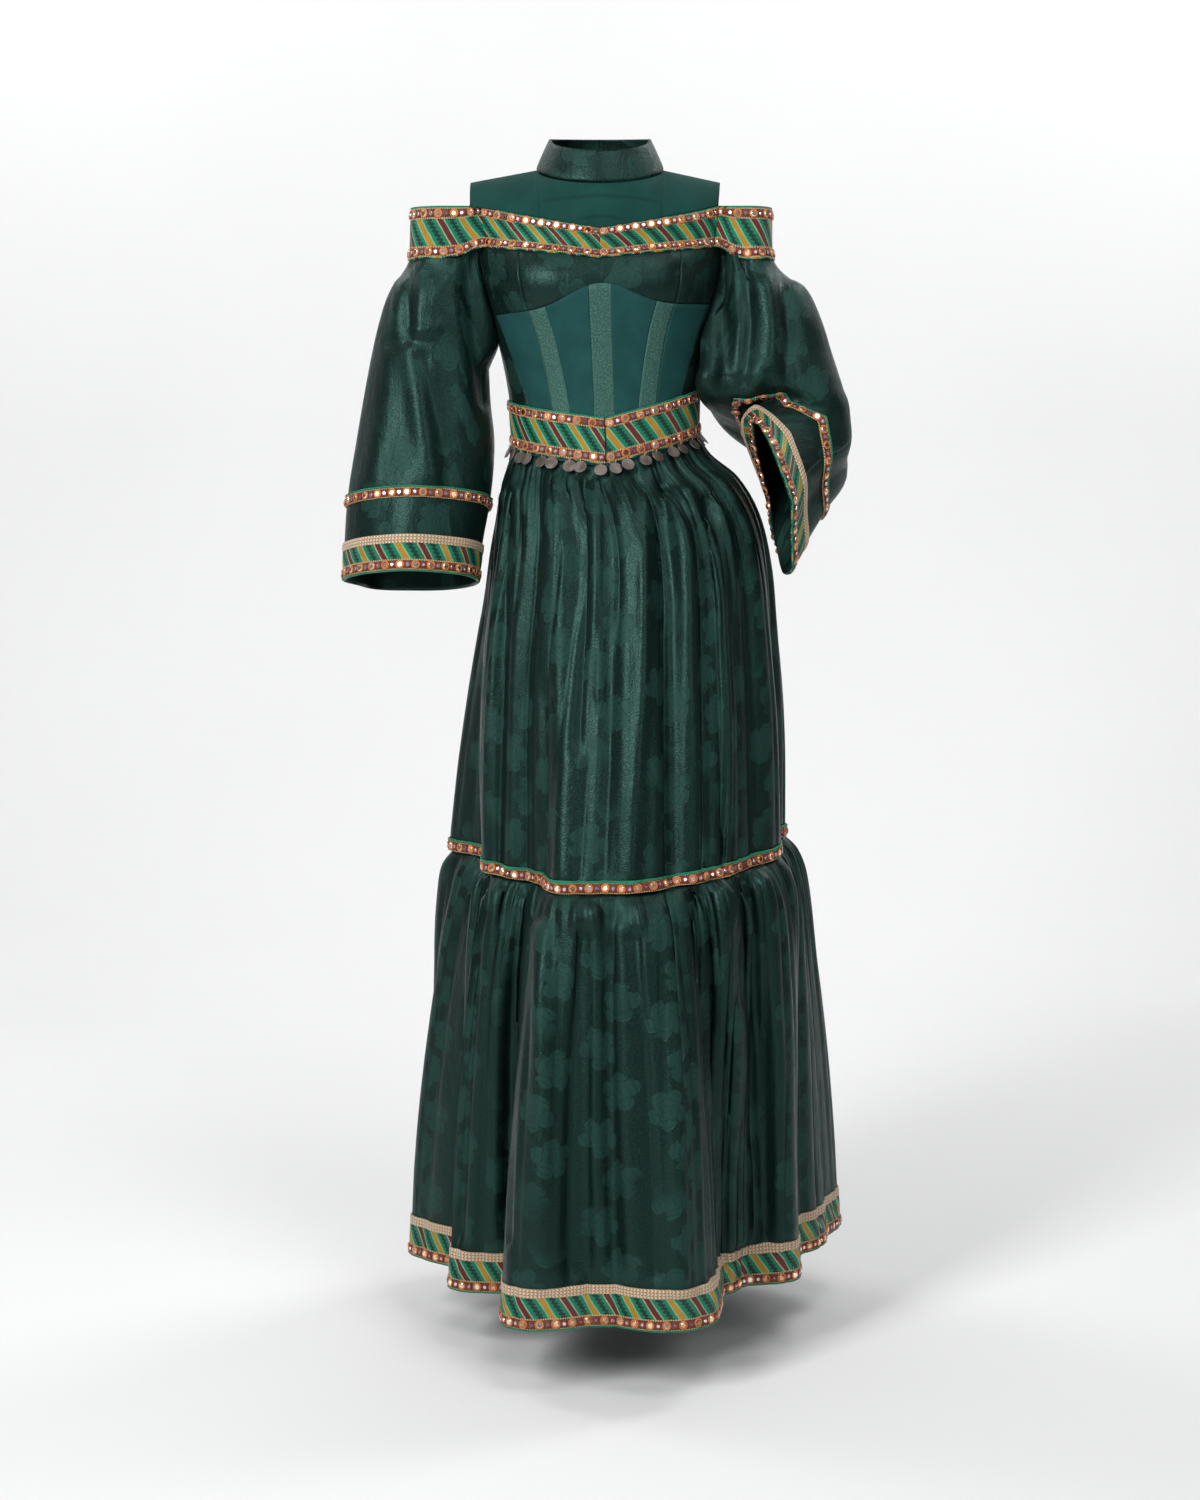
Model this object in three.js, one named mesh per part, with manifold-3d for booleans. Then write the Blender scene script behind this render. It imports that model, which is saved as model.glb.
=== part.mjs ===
// An embroidered satin dress as it hangs when it is worn: stand collar, mesh yoke, off-shoulder trim,
// boned bodice, coin belt, gathered skirt, gathered flounce and two wide sleeves, one of them bent.
// Units are millimetres. +Z is up, the front faces -Y and +X is the wearer's left. The origin is the
// middle of the shoulder line, where the wearer's shoulders carry the dress.
import * as THREE from "three";
import { mergeVertices } from "three/addons/utils/BufferGeometryUtils.js";
import Module from "manifold-3d";

const wasm = await Module();
wasm.setup();

// Walls and clearances.
const CLOTH_WALL = 1.5;
const TRIM_WALL = 1.6;
const SEAM_GAP = 0.3;
const TRIM_LIFT = CLOTH_WALL + SEAM_GAP;
const BELT_LIFT = CLOTH_WALL + 0.5;
const BRAID_LIFT = CLOTH_WALL + 0.8;

// Heights of the main lines, measured from the shoulder line.
const ARMHOLE = { from: 62, to: 118, depth: 85 };
const BAND = { centreTop: -66, sideTop: -33, backTop: -28, centreFoot: -104, sideFoot: -86, backFoot: -94 };
const UNDERBUST = { side: -163, rise: 29, spread: 21, tilt: 7 };
const BELT = { height: 62, waist: -329, dip: 32, dipPower: 1.2, tilt: 8 };
const TIER = { level: -856, dip: 22, tilt: 11 };
const HEM = { level: -1398, dip: 6, tilt: 8 };

// Trims, by their width along the cloth.
const TIER_TRIM = 16;
const HEM_BAND = 42;
const HEM_BRAID = 12;
const SLEEVE_TRIM = 15;
const SLEEVE_GROUND = 47;
const SLEEVE_BRAID = 11;
const CUFF_BAND = 36;

// How far each tier starts below its seam, and how far the belt stops above the waist seam, in half
// seam gaps.
const BELT_CLEAR = 20;
const FLOUNCE_CLEAR = 1.3;
const SKIRT_CLEAR = 0.9;

// Colours of the materials.
const SATIN = { color: 0x14382c, roughness: 0.42, metalness: 0 };
const MESH = { color: 0x154540, roughness: 0.8, metalness: 0 };
const EMBROIDERY = { color: 0x1c8a63, roughness: 0.6, metalness: 0 };
const BRAID = { color: 0xc79a74, roughness: 0.7, metalness: 0 };
const MIRROR_TRIM = { color: 0xb8694a, roughness: 0.45, metalness: 0.2 };
const COIN = { color: 0x4a3d3c, roughness: 0.5, metalness: 0.7 };

// Sections of the body part: height, sideways shift, half width, depth in front and behind.
const TORSO = [
  { z: -25, shift: 0, half: 170, front: 68, back: 84 },
  { z: -66, shift: 0, half: 163, front: 77, back: 88 },
  { z: -104, shift: 0, half: 154, front: 108, back: 90 },
  { z: -135, shift: 0, half: 147, front: 115, back: 90 },
  { z: -175, shift: 1, half: 137, front: 106, back: 86 },
  { z: -225, shift: 3, half: 127, front: 99, back: 82 },
  { z: -276, shift: 5, half: 120, front: 94, back: 80 },
  { z: -330, shift: 7, half: 118, front: 94, back: 82 },
  { z: -372, shift: 8, half: 119, front: 96, back: 84 },
];

// Seams and grid lines of the bodice, as degrees from the centre front, at the bust and at the waist.
const BODICE_LINES = [
  { bust: 0, waist: 0 },
  { bust: 5.4, waist: 6.2 },
  { bust: 13, waist: 11 },
  { bust: 20.5, waist: 16 },
  { bust: 28.1, waist: 20.8 },
  { bust: 38.9, waist: 33.2 },
  { bust: 50, waist: 39.5 },
  { bust: 62, waist: 46.5 },
  { bust: 71, waist: 52 },
  { bust: 80, waist: 68 },
  { bust: 90, waist: 84 },
  { bust: 100, waist: 100 },
  { bust: 109, waist: 109 },
  { bust: 118, waist: 118 },
  { bust: 130, waist: 130 },
  { bust: 142, waist: 142 },
  { bust: 155, waist: 155 },
  { bust: 168, waist: 168 },
  { bust: 180, waist: 180 },
];
const LINE = {
  strip: 1,
  innerMesh: 4,
  princess: 5,
  armFront: 7,
  sidePanel: 8,
  side: 9,
  sideSeam: 11,
  armBack: 13,
  back: 18,
};

// Rows of the bodice's grid, and the shares of the way at which the rows between two seams lie.
const ROW = { top: 0, bandFoot: 1, underbust: 4, beltTop: 7, waist: 8 };
const BUST_SHARES = [0.34, 0.68];
const WAIST_SHARES = [0.35, 0.7];
const CUP = { at: 33, spread: 24, level: -132, tall: 42, out: 10 };

// Sections of the gathered skirt, by its share of the way from the waist to the tier seam.
const SKIRT = [
  { down: 0, shift: 7.5, half: 118, front: 94.5, back: 82 },
  { down: 0.02, shift: 9, half: 121, front: 98, back: 86 },
  { down: 0.05, shift: 12, half: 129, front: 106, back: 95 },
  { down: 0.1, shift: 24, half: 148, front: 124, back: 112 },
  { down: 0.19, shift: 35, half: 164, front: 146, back: 134 },
  { down: 0.32, shift: 38, half: 177, front: 163, back: 150 },
  { down: 0.45, shift: 35, half: 187, front: 178, back: 164 },
  { down: 0.68, shift: 32, half: 200, front: 203, back: 184 },
  { down: 1, shift: 26, half: 212, front: 232, back: 206 },
];

// Sections of the flounce, by its share of the way from the tier seam to the hem.
const FLOUNCE = [
  { down: 0, shift: 26, half: 212, front: 232, back: 206 },
  { down: 0.04, shift: 28, half: 226, front: 244, back: 220 },
  { down: 0.1, shift: 30, half: 235, front: 252, back: 230 },
  { down: 0.25, shift: 30, half: 247, front: 261, back: 243 },
  { down: 0.55, shift: 31, half: 262, front: 273, back: 258 },
  { down: 1, shift: 33, half: 276, front: 286, back: 272 },
];

// The largest folds, as crests and valleys round the tier seam and round the hem: degrees from the
// centre front, and how far the cloth stands out.
const TIER_FOLDS = [
  { at: -126, out: -6 },
  { at: -102, out: 12 },
  { at: -85, out: -36 },
  { at: -62, out: -26 },
  { at: -36, out: -44 },
  { at: -21, out: 8 },
  { at: 4, out: 6 },
  { at: 42, out: -4 },
  { at: 66, out: 4 },
  { at: 84, out: -12 },
  { at: 104, out: 8 },
  { at: 132, out: -8 },
  { at: 156, out: 6 },
  { at: 180, out: -8 },
  { at: 206, out: 6 },
];
const HEM_FOLDS = [
  { at: -116, out: -36 },
  { at: -94, out: 10 },
  { at: -77, out: -50 },
  { at: -60, out: -18 },
  { at: -43, out: -60 },
  { at: -27, out: 38 },
  { at: -4, out: 20 },
  { at: 19, out: 36 },
  { at: 34, out: -60 },
  { at: 57, out: -26 },
  { at: 77, out: -44 },
  { at: 95, out: -2 },
  { at: 114, out: 24 },
  { at: 142, out: -44 },
  { at: 160, out: 22 },
  { at: 177, out: -36 },
  { at: 194, out: 22 },
  { at: 211, out: -38 },
  { at: 228, out: 16 },
];

// Gathers: how many round the dress, and how deep at each share of the way down. Two gathers run
// together into one drape lower down.
const SKIRT_GATHERS = 22;
const SKIRT_GATHER_DEPTH = [
  { down: 0, deep: 0.5 },
  { down: 0.05, deep: 3 },
  { down: 0.16, deep: 5 },
  { down: 0.45, deep: 3 },
  { down: 1, deep: 1 },
];
const SKIRT_DRAPE_DEPTH = [
  { down: 0, deep: 0 },
  { down: 0.1, deep: 1.5 },
  { down: 0.4, deep: 6 },
  { down: 0.75, deep: 8 },
  { down: 1, deep: 5 },
];
const SKIRT_FOLDS_FROM = 0.25;
const SKIRT_FOLD_POWER = 1.4;
const FLOUNCE_GATHERS = 26;
const FLOUNCE_GATHER_DEPTH = [
  { down: 0, deep: 1 },
  { down: 0.04, deep: 5.5 },
  { down: 0.12, deep: 6.5 },
  { down: 0.35, deep: 3 },
  { down: 1, deep: 0 },
];
const FLOUNCE_DRAPE_DEPTH = [
  { down: 0, deep: 0 },
  { down: 0.1, deep: 3 },
  { down: 0.4, deep: 8 },
  { down: 1, deep: 9 },
];
const FLOUNCE_FOLD_SHARE = [
  { down: 0, share: 0 },
  { down: 0.3, share: 0.35 },
  { down: 0.7, share: 0.85 },
  { down: 1, share: 1 },
];

// Gathers stand unevenly round the dress: how far their places drift, in degrees, and how their depth
// swells, as a share of it.
const GATHER_DRIFT = [
  { waves: 2, phase: 1, size: 5 },
  { waves: 5, phase: 0.4, size: 2.6 },
];
const GATHER_LEAST = 0.78;
const GATHER_SWELL = [
  { waves: 3, phase: 0.6, size: 0.16 },
  { waves: 7, phase: 2.2, size: 0.12 },
];
const COLUMNS_PER_GATHER = 4;

// Rings of a sleeve: how far out from the body's middle, forward and down its centre lies, half its
// width and depth, how far it pitches up in front and how far it turns towards the body. The crook of
// a bent sleeve is how far its inner front swings forward and in, in front of the waist, and its droop
// is how far the lower half of the cuff falls back towards the body.
const HANGING_SLEEVE = [
  { out: 207, forward: 0, z: -142, half: 59, deep: 56, pitch: 0, turn: 0 },
  { out: 211, forward: -2, z: -176, half: 67, deep: 62, pitch: 2, turn: 0 },
  { out: 217, forward: -4, z: -226, half: 73, deep: 67, pitch: 4, turn: 0 },
  { out: 221, forward: -3, z: -278, half: 79, deep: 71, pitch: 6, turn: 0 },
  { out: 223, forward: 1, z: -330, half: 86, deep: 74, pitch: 8, turn: 0 },
  { out: 231, forward: 8, z: -400, half: 89, deep: 77, pitch: 10, turn: 0 },
  { out: 238, forward: 14, z: -456, half: 86, deep: 79, pitch: 11, turn: 0 },
  { out: 242, forward: 18, z: -508, half: 83, deep: 80, pitch: 12, turn: 0 },
];
const BENT_SLEEVE = [
  { out: 203, forward: 0, z: -142, half: 54, deep: 56, pitch: 0, turn: 0, crook: 0 },
  { out: 209, forward: 2, z: -176, half: 65, deep: 62, pitch: 2, turn: 0, crook: 8 },
  { out: 214, forward: 2, z: -222, half: 76, deep: 72, pitch: 6, turn: 0, crook: 24 },
  { out: 221, forward: 2, z: -266, half: 86, deep: 80, pitch: 16, turn: 4, crook: 38 },
  { out: 234, forward: 6, z: -300, half: 84, deep: 80, pitch: 30, turn: 14, crook: 40 },
  { out: 256, forward: 18, z: -330, half: 66, deep: 76, pitch: 46, turn: 32, crook: 22 },
  { out: 234, forward: 52, z: -358, half: 58, deep: 80, pitch: 58, turn: 56, crook: 6 },
  { out: 227, forward: 84, z: -402, half: 66, deep: 100, pitch: 72, turn: 84, crook: 0, droop: 24 },
];
const CROOK_WAY = new THREE.Vector3(-0.75, -0.66, 0);
const SLEEVE_COLUMNS = 24;
const SLEEVE_JOIN = 8;
const SLEEVE_REACH = { left: 216, right: 238 };
const SLEEVE_HEAD = { side: 152, front: 36, round: 14, z: -34, body: 3.8 };

// Just below its head the sleeve's edge goes outwards and down, less far on the body's side, which
// begins at a share of the way round and is reached over another share.
const SLEEVE_EDGE = { out: 5, fall: 66, bodyFall: 16, bodyFrom: 0.26, bodyOver: 0.12 };

// A column of the sleeve that is shorter than this lies in creases, which draw its trims together.
const SLEEVE_LENGTH = 400;
const CREASE_POWER = 2.4;
const SLEEVE_FOLDS = [
  { waves: 5, phase: 0.4, size: 3.2 },
  { waves: 7, phase: 2.1, size: 1.8 },
];
const SLEEVE_FOLDS_KEPT = { all: 0.55, outside: 0.45 };

// Coins on their tape: how far apart they are, how far below the tape's middle their own middle hangs,
// how clear of the gathers they lie, and how unevenly they are spaced.
const COINS = { apart: 18.3, radius: 8, thick: 1.3, sides: 8, drop: 7.8, clear: 3.6, uneven: 0.03, drift: 0.37 };
const COIN_TAPE = { tall: 1.5, thick: 1.6 };

// The neck seam and the collar's top edge, the shoulder's tip, and the yoke's lines by their distance
// from the middle at the neck or the shoulder.
const NECK = { half: 80, front: 72, back: 66, y: 2, side: 13, frontDrop: 22, backRise: 12 };
const COLLAR_TOP = { half: 63, front: 58, back: 60, y: 0, side: 53, frontDrop: 20, backRise: 6 };
const SHOULDER = { tip: 159, shift: -6, y: 8, z: -2 };
const YOKE_FRONT_LINES = [0, 21, 42, 62, 80, 107, 133, SHOULDER.tip];
const YOKE_BACK_LINES = [0, 46, 80, 107, 133, SHOULDER.tip];
const YOKE_STEPS = [0, 0.22, 0.46, 0.72, 1];
const YOKE_KNEE = { across: 0.4, ahead: 0.8, down: 0.2 };
const COLLAR_STEP = 20;
const COLLAR_ABOVE_YOKE = 3;

const degrees = THREE.MathUtils.degToRad;
const mix = THREE.MathUtils.lerp;
const clamp01 = (value) => THREE.MathUtils.clamp(value, 0, 1);
const wave = (turns, phase = 0) => Math.sin(2 * Math.PI * turns + phase);

// The value of a table's column at a place along its key column, on a smooth curve through its rows.
function along(table, key, column, at) {
  const rows = [...table].sort((a, b) => a[key] - b[key]);
  const last = rows.length - 1;
  if (at <= rows[0][key]) return rows[0][column];
  if (at >= rows[last][key]) return rows[last][column];
  const i = rows.findIndex((row) => row[key] > at) - 1;
  const slope = (j) => {
    const a = rows[Math.max(j - 1, 0)];
    const b = rows[Math.min(j + 1, last)];
    return (b[column] - a[column]) / (b[key] - a[key]);
  };
  const width = rows[i + 1][key] - rows[i][key];
  const t = (at - rows[i][key]) / width;
  const low = rows[i][column];
  const high = rows[i + 1][column];
  return (
    low * (1 + 2 * t) * (1 - t) ** 2 +
    slope(i) * width * t * (1 - t) ** 2 +
    high * t * t * (3 - 2 * t) -
    slope(i + 1) * width * t * t * (1 - t)
  );
}

// A round table of folds, in degrees, at any angle.
function foldsAt(table, angle) {
  const turned = [-360, 0, 360].flatMap((turn) => table.map((row) => ({ ...row, at: row.at + turn })));
  const wrapped = ((((angle + 180) % 360) + 360) % 360) - 180;
  return along(turned, "at", "out", wrapped);
}

// A point at an angle round a section, with the angle counted from the centre front.
function onSection(section, angle, z, out = 0) {
  const a = degrees(angle);
  const depth = Math.cos(a) > 0 ? section.front : section.back;
  return new THREE.Vector3(
    section.shift + (section.half + out) * Math.sin(a),
    -(depth + out) * Math.cos(a),
    z,
  );
}

function sectionAt(table, key, at) {
  const value = (column) => along(table, key, column, at);
  return { shift: value("shift"), half: value("half"), front: value("front"), back: value("back") };
}

// Lines that the pieces are cut to, as heights at an angle from the centre front.
const inward = (angle) => Math.abs(((angle + 540) % 360) - 180);
const towardsLeft = (angle) => Math.sin(degrees(angle));
const towardsFront = (angle) => Math.max(Math.cos(degrees(angle)), 0);

function bandTop(angle) {
  const a = inward(angle);
  if (a < 90) return mix(BAND.centreTop, BAND.sideTop, Math.min(a / ARMHOLE.from, 1));
  return mix(BAND.sideTop, BAND.backTop, clamp01((a - ARMHOLE.to) / (180 - ARMHOLE.to)));
}

function bodiceTop(angle) {
  const a = inward(angle);
  if (a <= ARMHOLE.from || a >= ARMHOLE.to) return bandTop(angle);
  const share = (a - ARMHOLE.from) / (ARMHOLE.to - ARMHOLE.from);
  return BAND.sideTop - ARMHOLE.depth * Math.sin(Math.PI * share) ** 0.8;
}

function bandFoot(angle) {
  const a = inward(angle);
  const foot =
    a < 90
      ? mix(BAND.centreFoot, BAND.sideFoot, Math.min(a / ARMHOLE.from, 1))
      : mix(BAND.sideFoot, BAND.backFoot, clamp01((a - 90) / 90));
  return Math.min(foot, bodiceTop(angle) - 10);
}

function underbust(angle) {
  const a = inward(angle);
  const rise = UNDERBUST.rise * Math.exp(-((a / UNDERBUST.spread) ** 2));
  return UNDERBUST.side + rise + UNDERBUST.tilt * towardsLeft(angle);
}

function waistSeam(angle) {
  const dip = Math.max(1 - inward(angle) / 90, 0) ** BELT.dipPower;
  return BELT.waist + BELT.tilt * towardsLeft(angle) - BELT.dip * dip;
}

const tierSeam = (angle) => TIER.level + TIER.tilt * towardsLeft(angle) - TIER.dip * towardsFront(angle);
const hemLine = (angle) => HEM.level + HEM.tilt * towardsLeft(angle) - HEM.dip * towardsFront(angle);

// A grid of points on a surface, with the direction out of the cloth at each point. A ring joins its
// last column to its first.
function surface(rows, ring) {
  const columns = rows[0].length;
  const beside = (c, step) =>
    ring ? (c + step + columns) % columns : THREE.MathUtils.clamp(c + step, 0, columns - 1);
  const normals = rows.map((row, r) =>
    row.map((point, c) => {
      const across = new THREE.Vector3().subVectors(row[beside(c, 1)], row[beside(c, -1)]);
      const below = rows[Math.min(r + 1, rows.length - 1)][c];
      const down = new THREE.Vector3().subVectors(below, rows[Math.max(r - 1, 0)][c]);
      return new THREE.Vector3().crossVectors(down, across).normalize();
    }),
  );
  return { rows, normals, ring };
}

// A point at a fixed distance from one point towards another.
function towards(from, to, distance) {
  const way = new THREE.Vector3().subVectors(to, from).normalize();
  return from.clone().addScaledVector(way, distance);
}

// A wall of cloth over part of a surface: its inner face lies `lift` out from the grid's points. Its
// edges stand back from each seam by half the seam gap.
function wall(sheet, { rows, columns, lift = 0, thick = CLOTH_WALL, back = [1, 1, 1, 1] }) {
  const [top, foot] = rows ?? [0, sheet.rows.length - 1];
  const whole = !columns;
  const [left, right] = columns ?? [0, sheet.rows[0].length];
  const count = sheet.rows[0].length;
  const at = (c) => ((c % count) + count) % count;
  const picked = [];
  for (let c = left; whole ? c < right : c <= right; c++) picked.push(at(c));
  const point = (r, c, out) => {
    let place = sheet.rows[r][picked[c]].clone();
    const standBack = (toRow, toColumn, edge) => {
      place = towards(place, sheet.rows[toRow][picked[toColumn]], (back[edge] * SEAM_GAP) / 2);
    };
    if (r === top) standBack(r + 1, c, 0);
    if (r === foot) standBack(r - 1, c, 1);
    if (!whole && c === 0) standBack(r, 1, 2);
    if (!whole && c === picked.length - 1) standBack(r, c - 1, 3);
    return place.addScaledVector(sheet.normals[r][picked[c]], out);
  };
  const skins = [lift + thick, lift].map((out) => {
    const skin = [];
    for (let r = top; r <= foot; r++) skin.push(picked.map((_, c) => point(r, c, out)));
    return skin;
  });
  const faces = [];
  const quad = (a, b, c, d) => faces.push(a, b, c, a, c, d);
  const deep = foot - top;
  const wide = whole ? picked.length : picked.length - 1;
  const next = (c) => (c + 1) % picked.length;
  const [outer, inner] = skins;
  for (let c = 0; c < wide; c++) {
    for (let r = 0; r < deep; r++) {
      quad(outer[r][c], outer[r + 1][c], outer[r + 1][next(c)], outer[r][next(c)]);
      quad(inner[r][c], inner[r][next(c)], inner[r + 1][next(c)], inner[r + 1][c]);
    }
    quad(outer[0][c], outer[0][next(c)], inner[0][next(c)], inner[0][c]);
    quad(outer[deep][next(c)], outer[deep][c], inner[deep][c], inner[deep][next(c)]);
  }
  if (!whole) {
    const end = picked.length - 1;
    for (let r = 0; r < deep; r++) {
      quad(outer[r + 1][0], outer[r][0], inner[r][0], inner[r + 1][0]);
      quad(outer[r][end], outer[r + 1][end], inner[r + 1][end], inner[r][end]);
    }
  }
  return new THREE.BufferGeometry().setFromPoints(faces);
}

const dress = new THREE.Group();

function add(name, finish, geometry) {
  const mesh = new THREE.Mesh(geometry, new THREE.MeshStandardMaterial(finish));
  mesh.name = name;
  dress.add(mesh);
}

// Bodice grid: rows run from the top edge to the waist seam, columns from the centre back round by the
// wearer's right, the centre front and the left to the centre back.
function bodiceGrid() {
  const half = BODICE_LINES.map((line) => [line.bust, line.waist]);
  const lines = [...half.slice(1).reverse().map(([bust, waist]) => [-bust, -waist]), ...half];
  const heights = (angle, waistAngle) => {
    const beltTop = waistSeam(waistAngle) + BELT.height;
    return [
      bodiceTop(angle),
      bandFoot(angle),
      ...BUST_SHARES.map((share) => mix(bandFoot(angle), underbust(angle), share)),
      underbust(angle),
      ...WAIST_SHARES.map((share) => mix(underbust(angle), beltTop, share)),
      beltTop,
      waistSeam(waistAngle),
    ];
  };
  const narrowing = [0, 0, ...BUST_SHARES.map(() => 0), 0, ...WAIST_SHARES, 1, 1];
  return surface(
    narrowing.map((share, r) =>
      lines.map(([bust, waist]) => {
        const angle = mix(bust, waist, share);
        const z = heights(bust, waist)[r];
        const beside = (inward(angle) - CUP.at) / CUP.spread;
        const above = (z - CUP.level) / CUP.tall;
        const cup = CUP.out * Math.exp(-(beside ** 2) - above ** 2);
        return onSection(sectionAt(TORSO, "z", z), angle, z, cup);
      }),
    ),
    false,
  );
}

const bodice = bodiceGrid();
const CENTRE = LINE.back;
const BUST_ROWS = [ROW.top, ROW.underbust];
const WAIST_ROWS = [ROW.underbust, ROW.waist];
const BAND_ROWS = [ROW.top, ROW.bandFoot];
const BELT_ROWS = [ROW.beltTop, ROW.waist];

// The same piece on both sides of the body. Lines are counted from the centre front.
function bodicePair(name, finish, from, to, rows, options = {}) {
  add(`${name}_left`, finish, wall(bodice, { rows, columns: [CENTRE + from, CENTRE + to], ...options }));
  add(`${name}_right`, finish, wall(bodice, { rows, columns: [CENTRE - to, CENTRE - from], ...options }));
}

const bustLines = [CENTRE - LINE.princess, CENTRE + LINE.princess];
add("bust_centre", SATIN, wall(bodice, { rows: BUST_ROWS, columns: bustLines }));
bodicePair("bust_side", SATIN, LINE.princess, LINE.sideSeam, BUST_ROWS);
const stripLines = [CENTRE - LINE.strip, CENTRE + LINE.strip];
add("strip_centre", SATIN, wall(bodice, { rows: WAIST_ROWS, columns: stripLines }));
bodicePair("mesh_inner", MESH, LINE.strip, LINE.innerMesh, WAIST_ROWS);
bodicePair("strip_side", SATIN, LINE.innerMesh, LINE.princess, WAIST_ROWS);
bodicePair("mesh_outer", MESH, LINE.princess, LINE.sidePanel, WAIST_ROWS);
bodicePair("side_panel", SATIN, LINE.sidePanel, LINE.sideSeam, WAIST_ROWS);
bodicePair("back_panel", SATIN, LINE.sideSeam, LINE.back, [ROW.top, ROW.waist]);

// The off-shoulder trim lies on the bodice, mitred at the centre front.
const bandOn = { lift: TRIM_LIFT, thick: TRIM_WALL };
bodicePair("band_front", EMBROIDERY, 0, LINE.armFront, BAND_ROWS, bandOn);
bodicePair("band_back", EMBROIDERY, LINE.armBack, LINE.back, BAND_ROWS, bandOn);

// The belt is one trim round each half of the waist.
const beltOn = { lift: BELT_LIFT, thick: TRIM_WALL, back: [1, BELT_CLEAR, 1, 1] };
bodicePair("belt", EMBROIDERY, 0, LINE.back, BELT_ROWS, beltOn);

// A closed mesh as a solid, for joining.
function solid(geometry) {
  const bare = geometry.clone();
  bare.deleteAttribute("normal");
  bare.deleteAttribute("uv");
  const merged = mergeVertices(bare, 1e-4);
  const vertProperties = Float32Array.from(merged.attributes.position.array);
  const triVerts = Uint32Array.from(merged.index.array);
  return new wasm.Manifold(new wasm.Mesh({ numProp: 3, vertProperties, triVerts }));
}

function fromSolid(joined) {
  const { vertProperties, triVerts, numProp } = joined.getMesh();
  const geometry = new THREE.BufferGeometry();
  const positions = new THREE.InterleavedBuffer(vertProperties, numProp);
  geometry.setAttribute("position", new THREE.InterleavedBufferAttribute(positions, 3, 0));
  geometry.setIndex(Array.from(triVerts));
  return geometry;
}

// Neck rings and the stand collar, split at the centre back.
function neckRing(ring, angle) {
  const front = towardsFront(angle);
  const behind = Math.max(-Math.cos(degrees(angle)), 0);
  const z = ring.side - ring.frontDrop * front + ring.backRise * behind;
  const place = onSection({ shift: 0, ...ring }, angle, z);
  place.y += ring.y;
  return place;
}

const COLLAR_PANELS = 360 / COLLAR_STEP;

function collarGrid() {
  const angles = Array.from({ length: COLLAR_PANELS + 1 }, (_, i) => -180 + COLLAR_STEP * i);
  const rise = [1, 0.5, 0];
  return surface(
    rise.map((share) =>
      angles.map((angle) => {
        const foot = neckRing(NECK, angle);
        foot.z += COLLAR_ABOVE_YOKE;
        return foot.lerp(neckRing(COLLAR_TOP, angle), share);
      }),
    ),
    false,
  );
}

add("stand_collar", SATIN, wall(collarGrid(), { columns: [0, COLLAR_PANELS], back: [0, 0, 2, 2] }));

// The yoke hangs from the neck and shoulder seams to the top of the bodice, line by line. Each line is
// given by its distance from the middle at the neck or shoulder and by its line on the bodice.
function yokeGrid(fromCentre, facing) {
  const half = fromCentre.map((x, i) => ({ x, line: facing > 0 ? i : LINE.back - i }));
  const left = half.map(({ x, line }) => ({ x, column: CENTRE + line }));
  const right = half.map(({ x, line }) => ({ x: -x, column: CENTRE - line }));
  const lines = facing > 0 ? [...right.slice(1).reverse(), ...left] : [...left.slice(1).reverse(), ...right];
  const columns = lines.map(({ x, column }) => {
    const past = clamp01((Math.abs(x) - NECK.half) / (SHOULDER.tip - NECK.half));
    const round = (Math.asin(THREE.MathUtils.clamp(x / NECK.half, -1, 1)) * 180) / Math.PI;
    const head = neckRing(NECK, facing > 0 ? round : 180 - round);
    head.x = x + SHOULDER.shift * past;
    head.y = mix(head.y, SHOULDER.y, past);
    head.z = mix(head.z, SHOULDER.z, past);
    const foot = bodice.rows[0][column];
    const knee = new THREE.Vector3(
      mix(head.x, foot.x, YOKE_KNEE.across),
      mix(head.y, foot.y, YOKE_KNEE.ahead),
      mix(head.z, foot.z, YOKE_KNEE.down),
    );
    return new THREE.QuadraticBezierCurve3(head, knee, foot);
  });
  const sheet = surface(YOKE_STEPS.map((share) => columns.map((curve) => curve.getPoint(share))), false);
  sheet.normals[YOKE_STEPS.length - 1] = lines.map(({ column }) => bodice.normals[0][column]);
  return sheet;
}

const yokeFront = yokeGrid(YOKE_FRONT_LINES, 1);
const yokeBack = yokeGrid(YOKE_BACK_LINES, -1);
const backHalf = YOKE_BACK_LINES.length - 1;
add("yoke_front", MESH, wall(yokeFront, { columns: [0, 2 * (YOKE_FRONT_LINES.length - 1)] }));
add("yoke_back_left", MESH, wall(yokeBack, { columns: [0, backHalf] }));
add("yoke_back_right", MESH, wall(yokeBack, { columns: [backHalf, 2 * backHalf] }));

function waves(table, share) {
  return table.reduce((sum, row) => sum + row.size * wave(row.waves * share, row.phase), 0);
}
const unevenAngle = (share) => 360 * share + waves(GATHER_DRIFT, share);
const unevenDepth = (share) => GATHER_LEAST + waves(GATHER_SWELL, share);

// One tier of the skirt: rows of points at the given shares of the way down.
function tierGrid({ sections, gathers, steps, head, foot, shape }) {
  const columns = gathers * COLUMNS_PER_GATHER;
  return surface(
    steps.map((down) => {
      const section = sectionAt(sections, "down", down);
      return Array.from({ length: columns }, (_, i) => {
        const share = i / columns;
        const angle = unevenAngle(share);
        const z = mix(head(angle), foot(angle), down);
        return onSection(section, angle, z, shape(share, angle, down));
      });
    }),
    true,
  );
}

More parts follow.
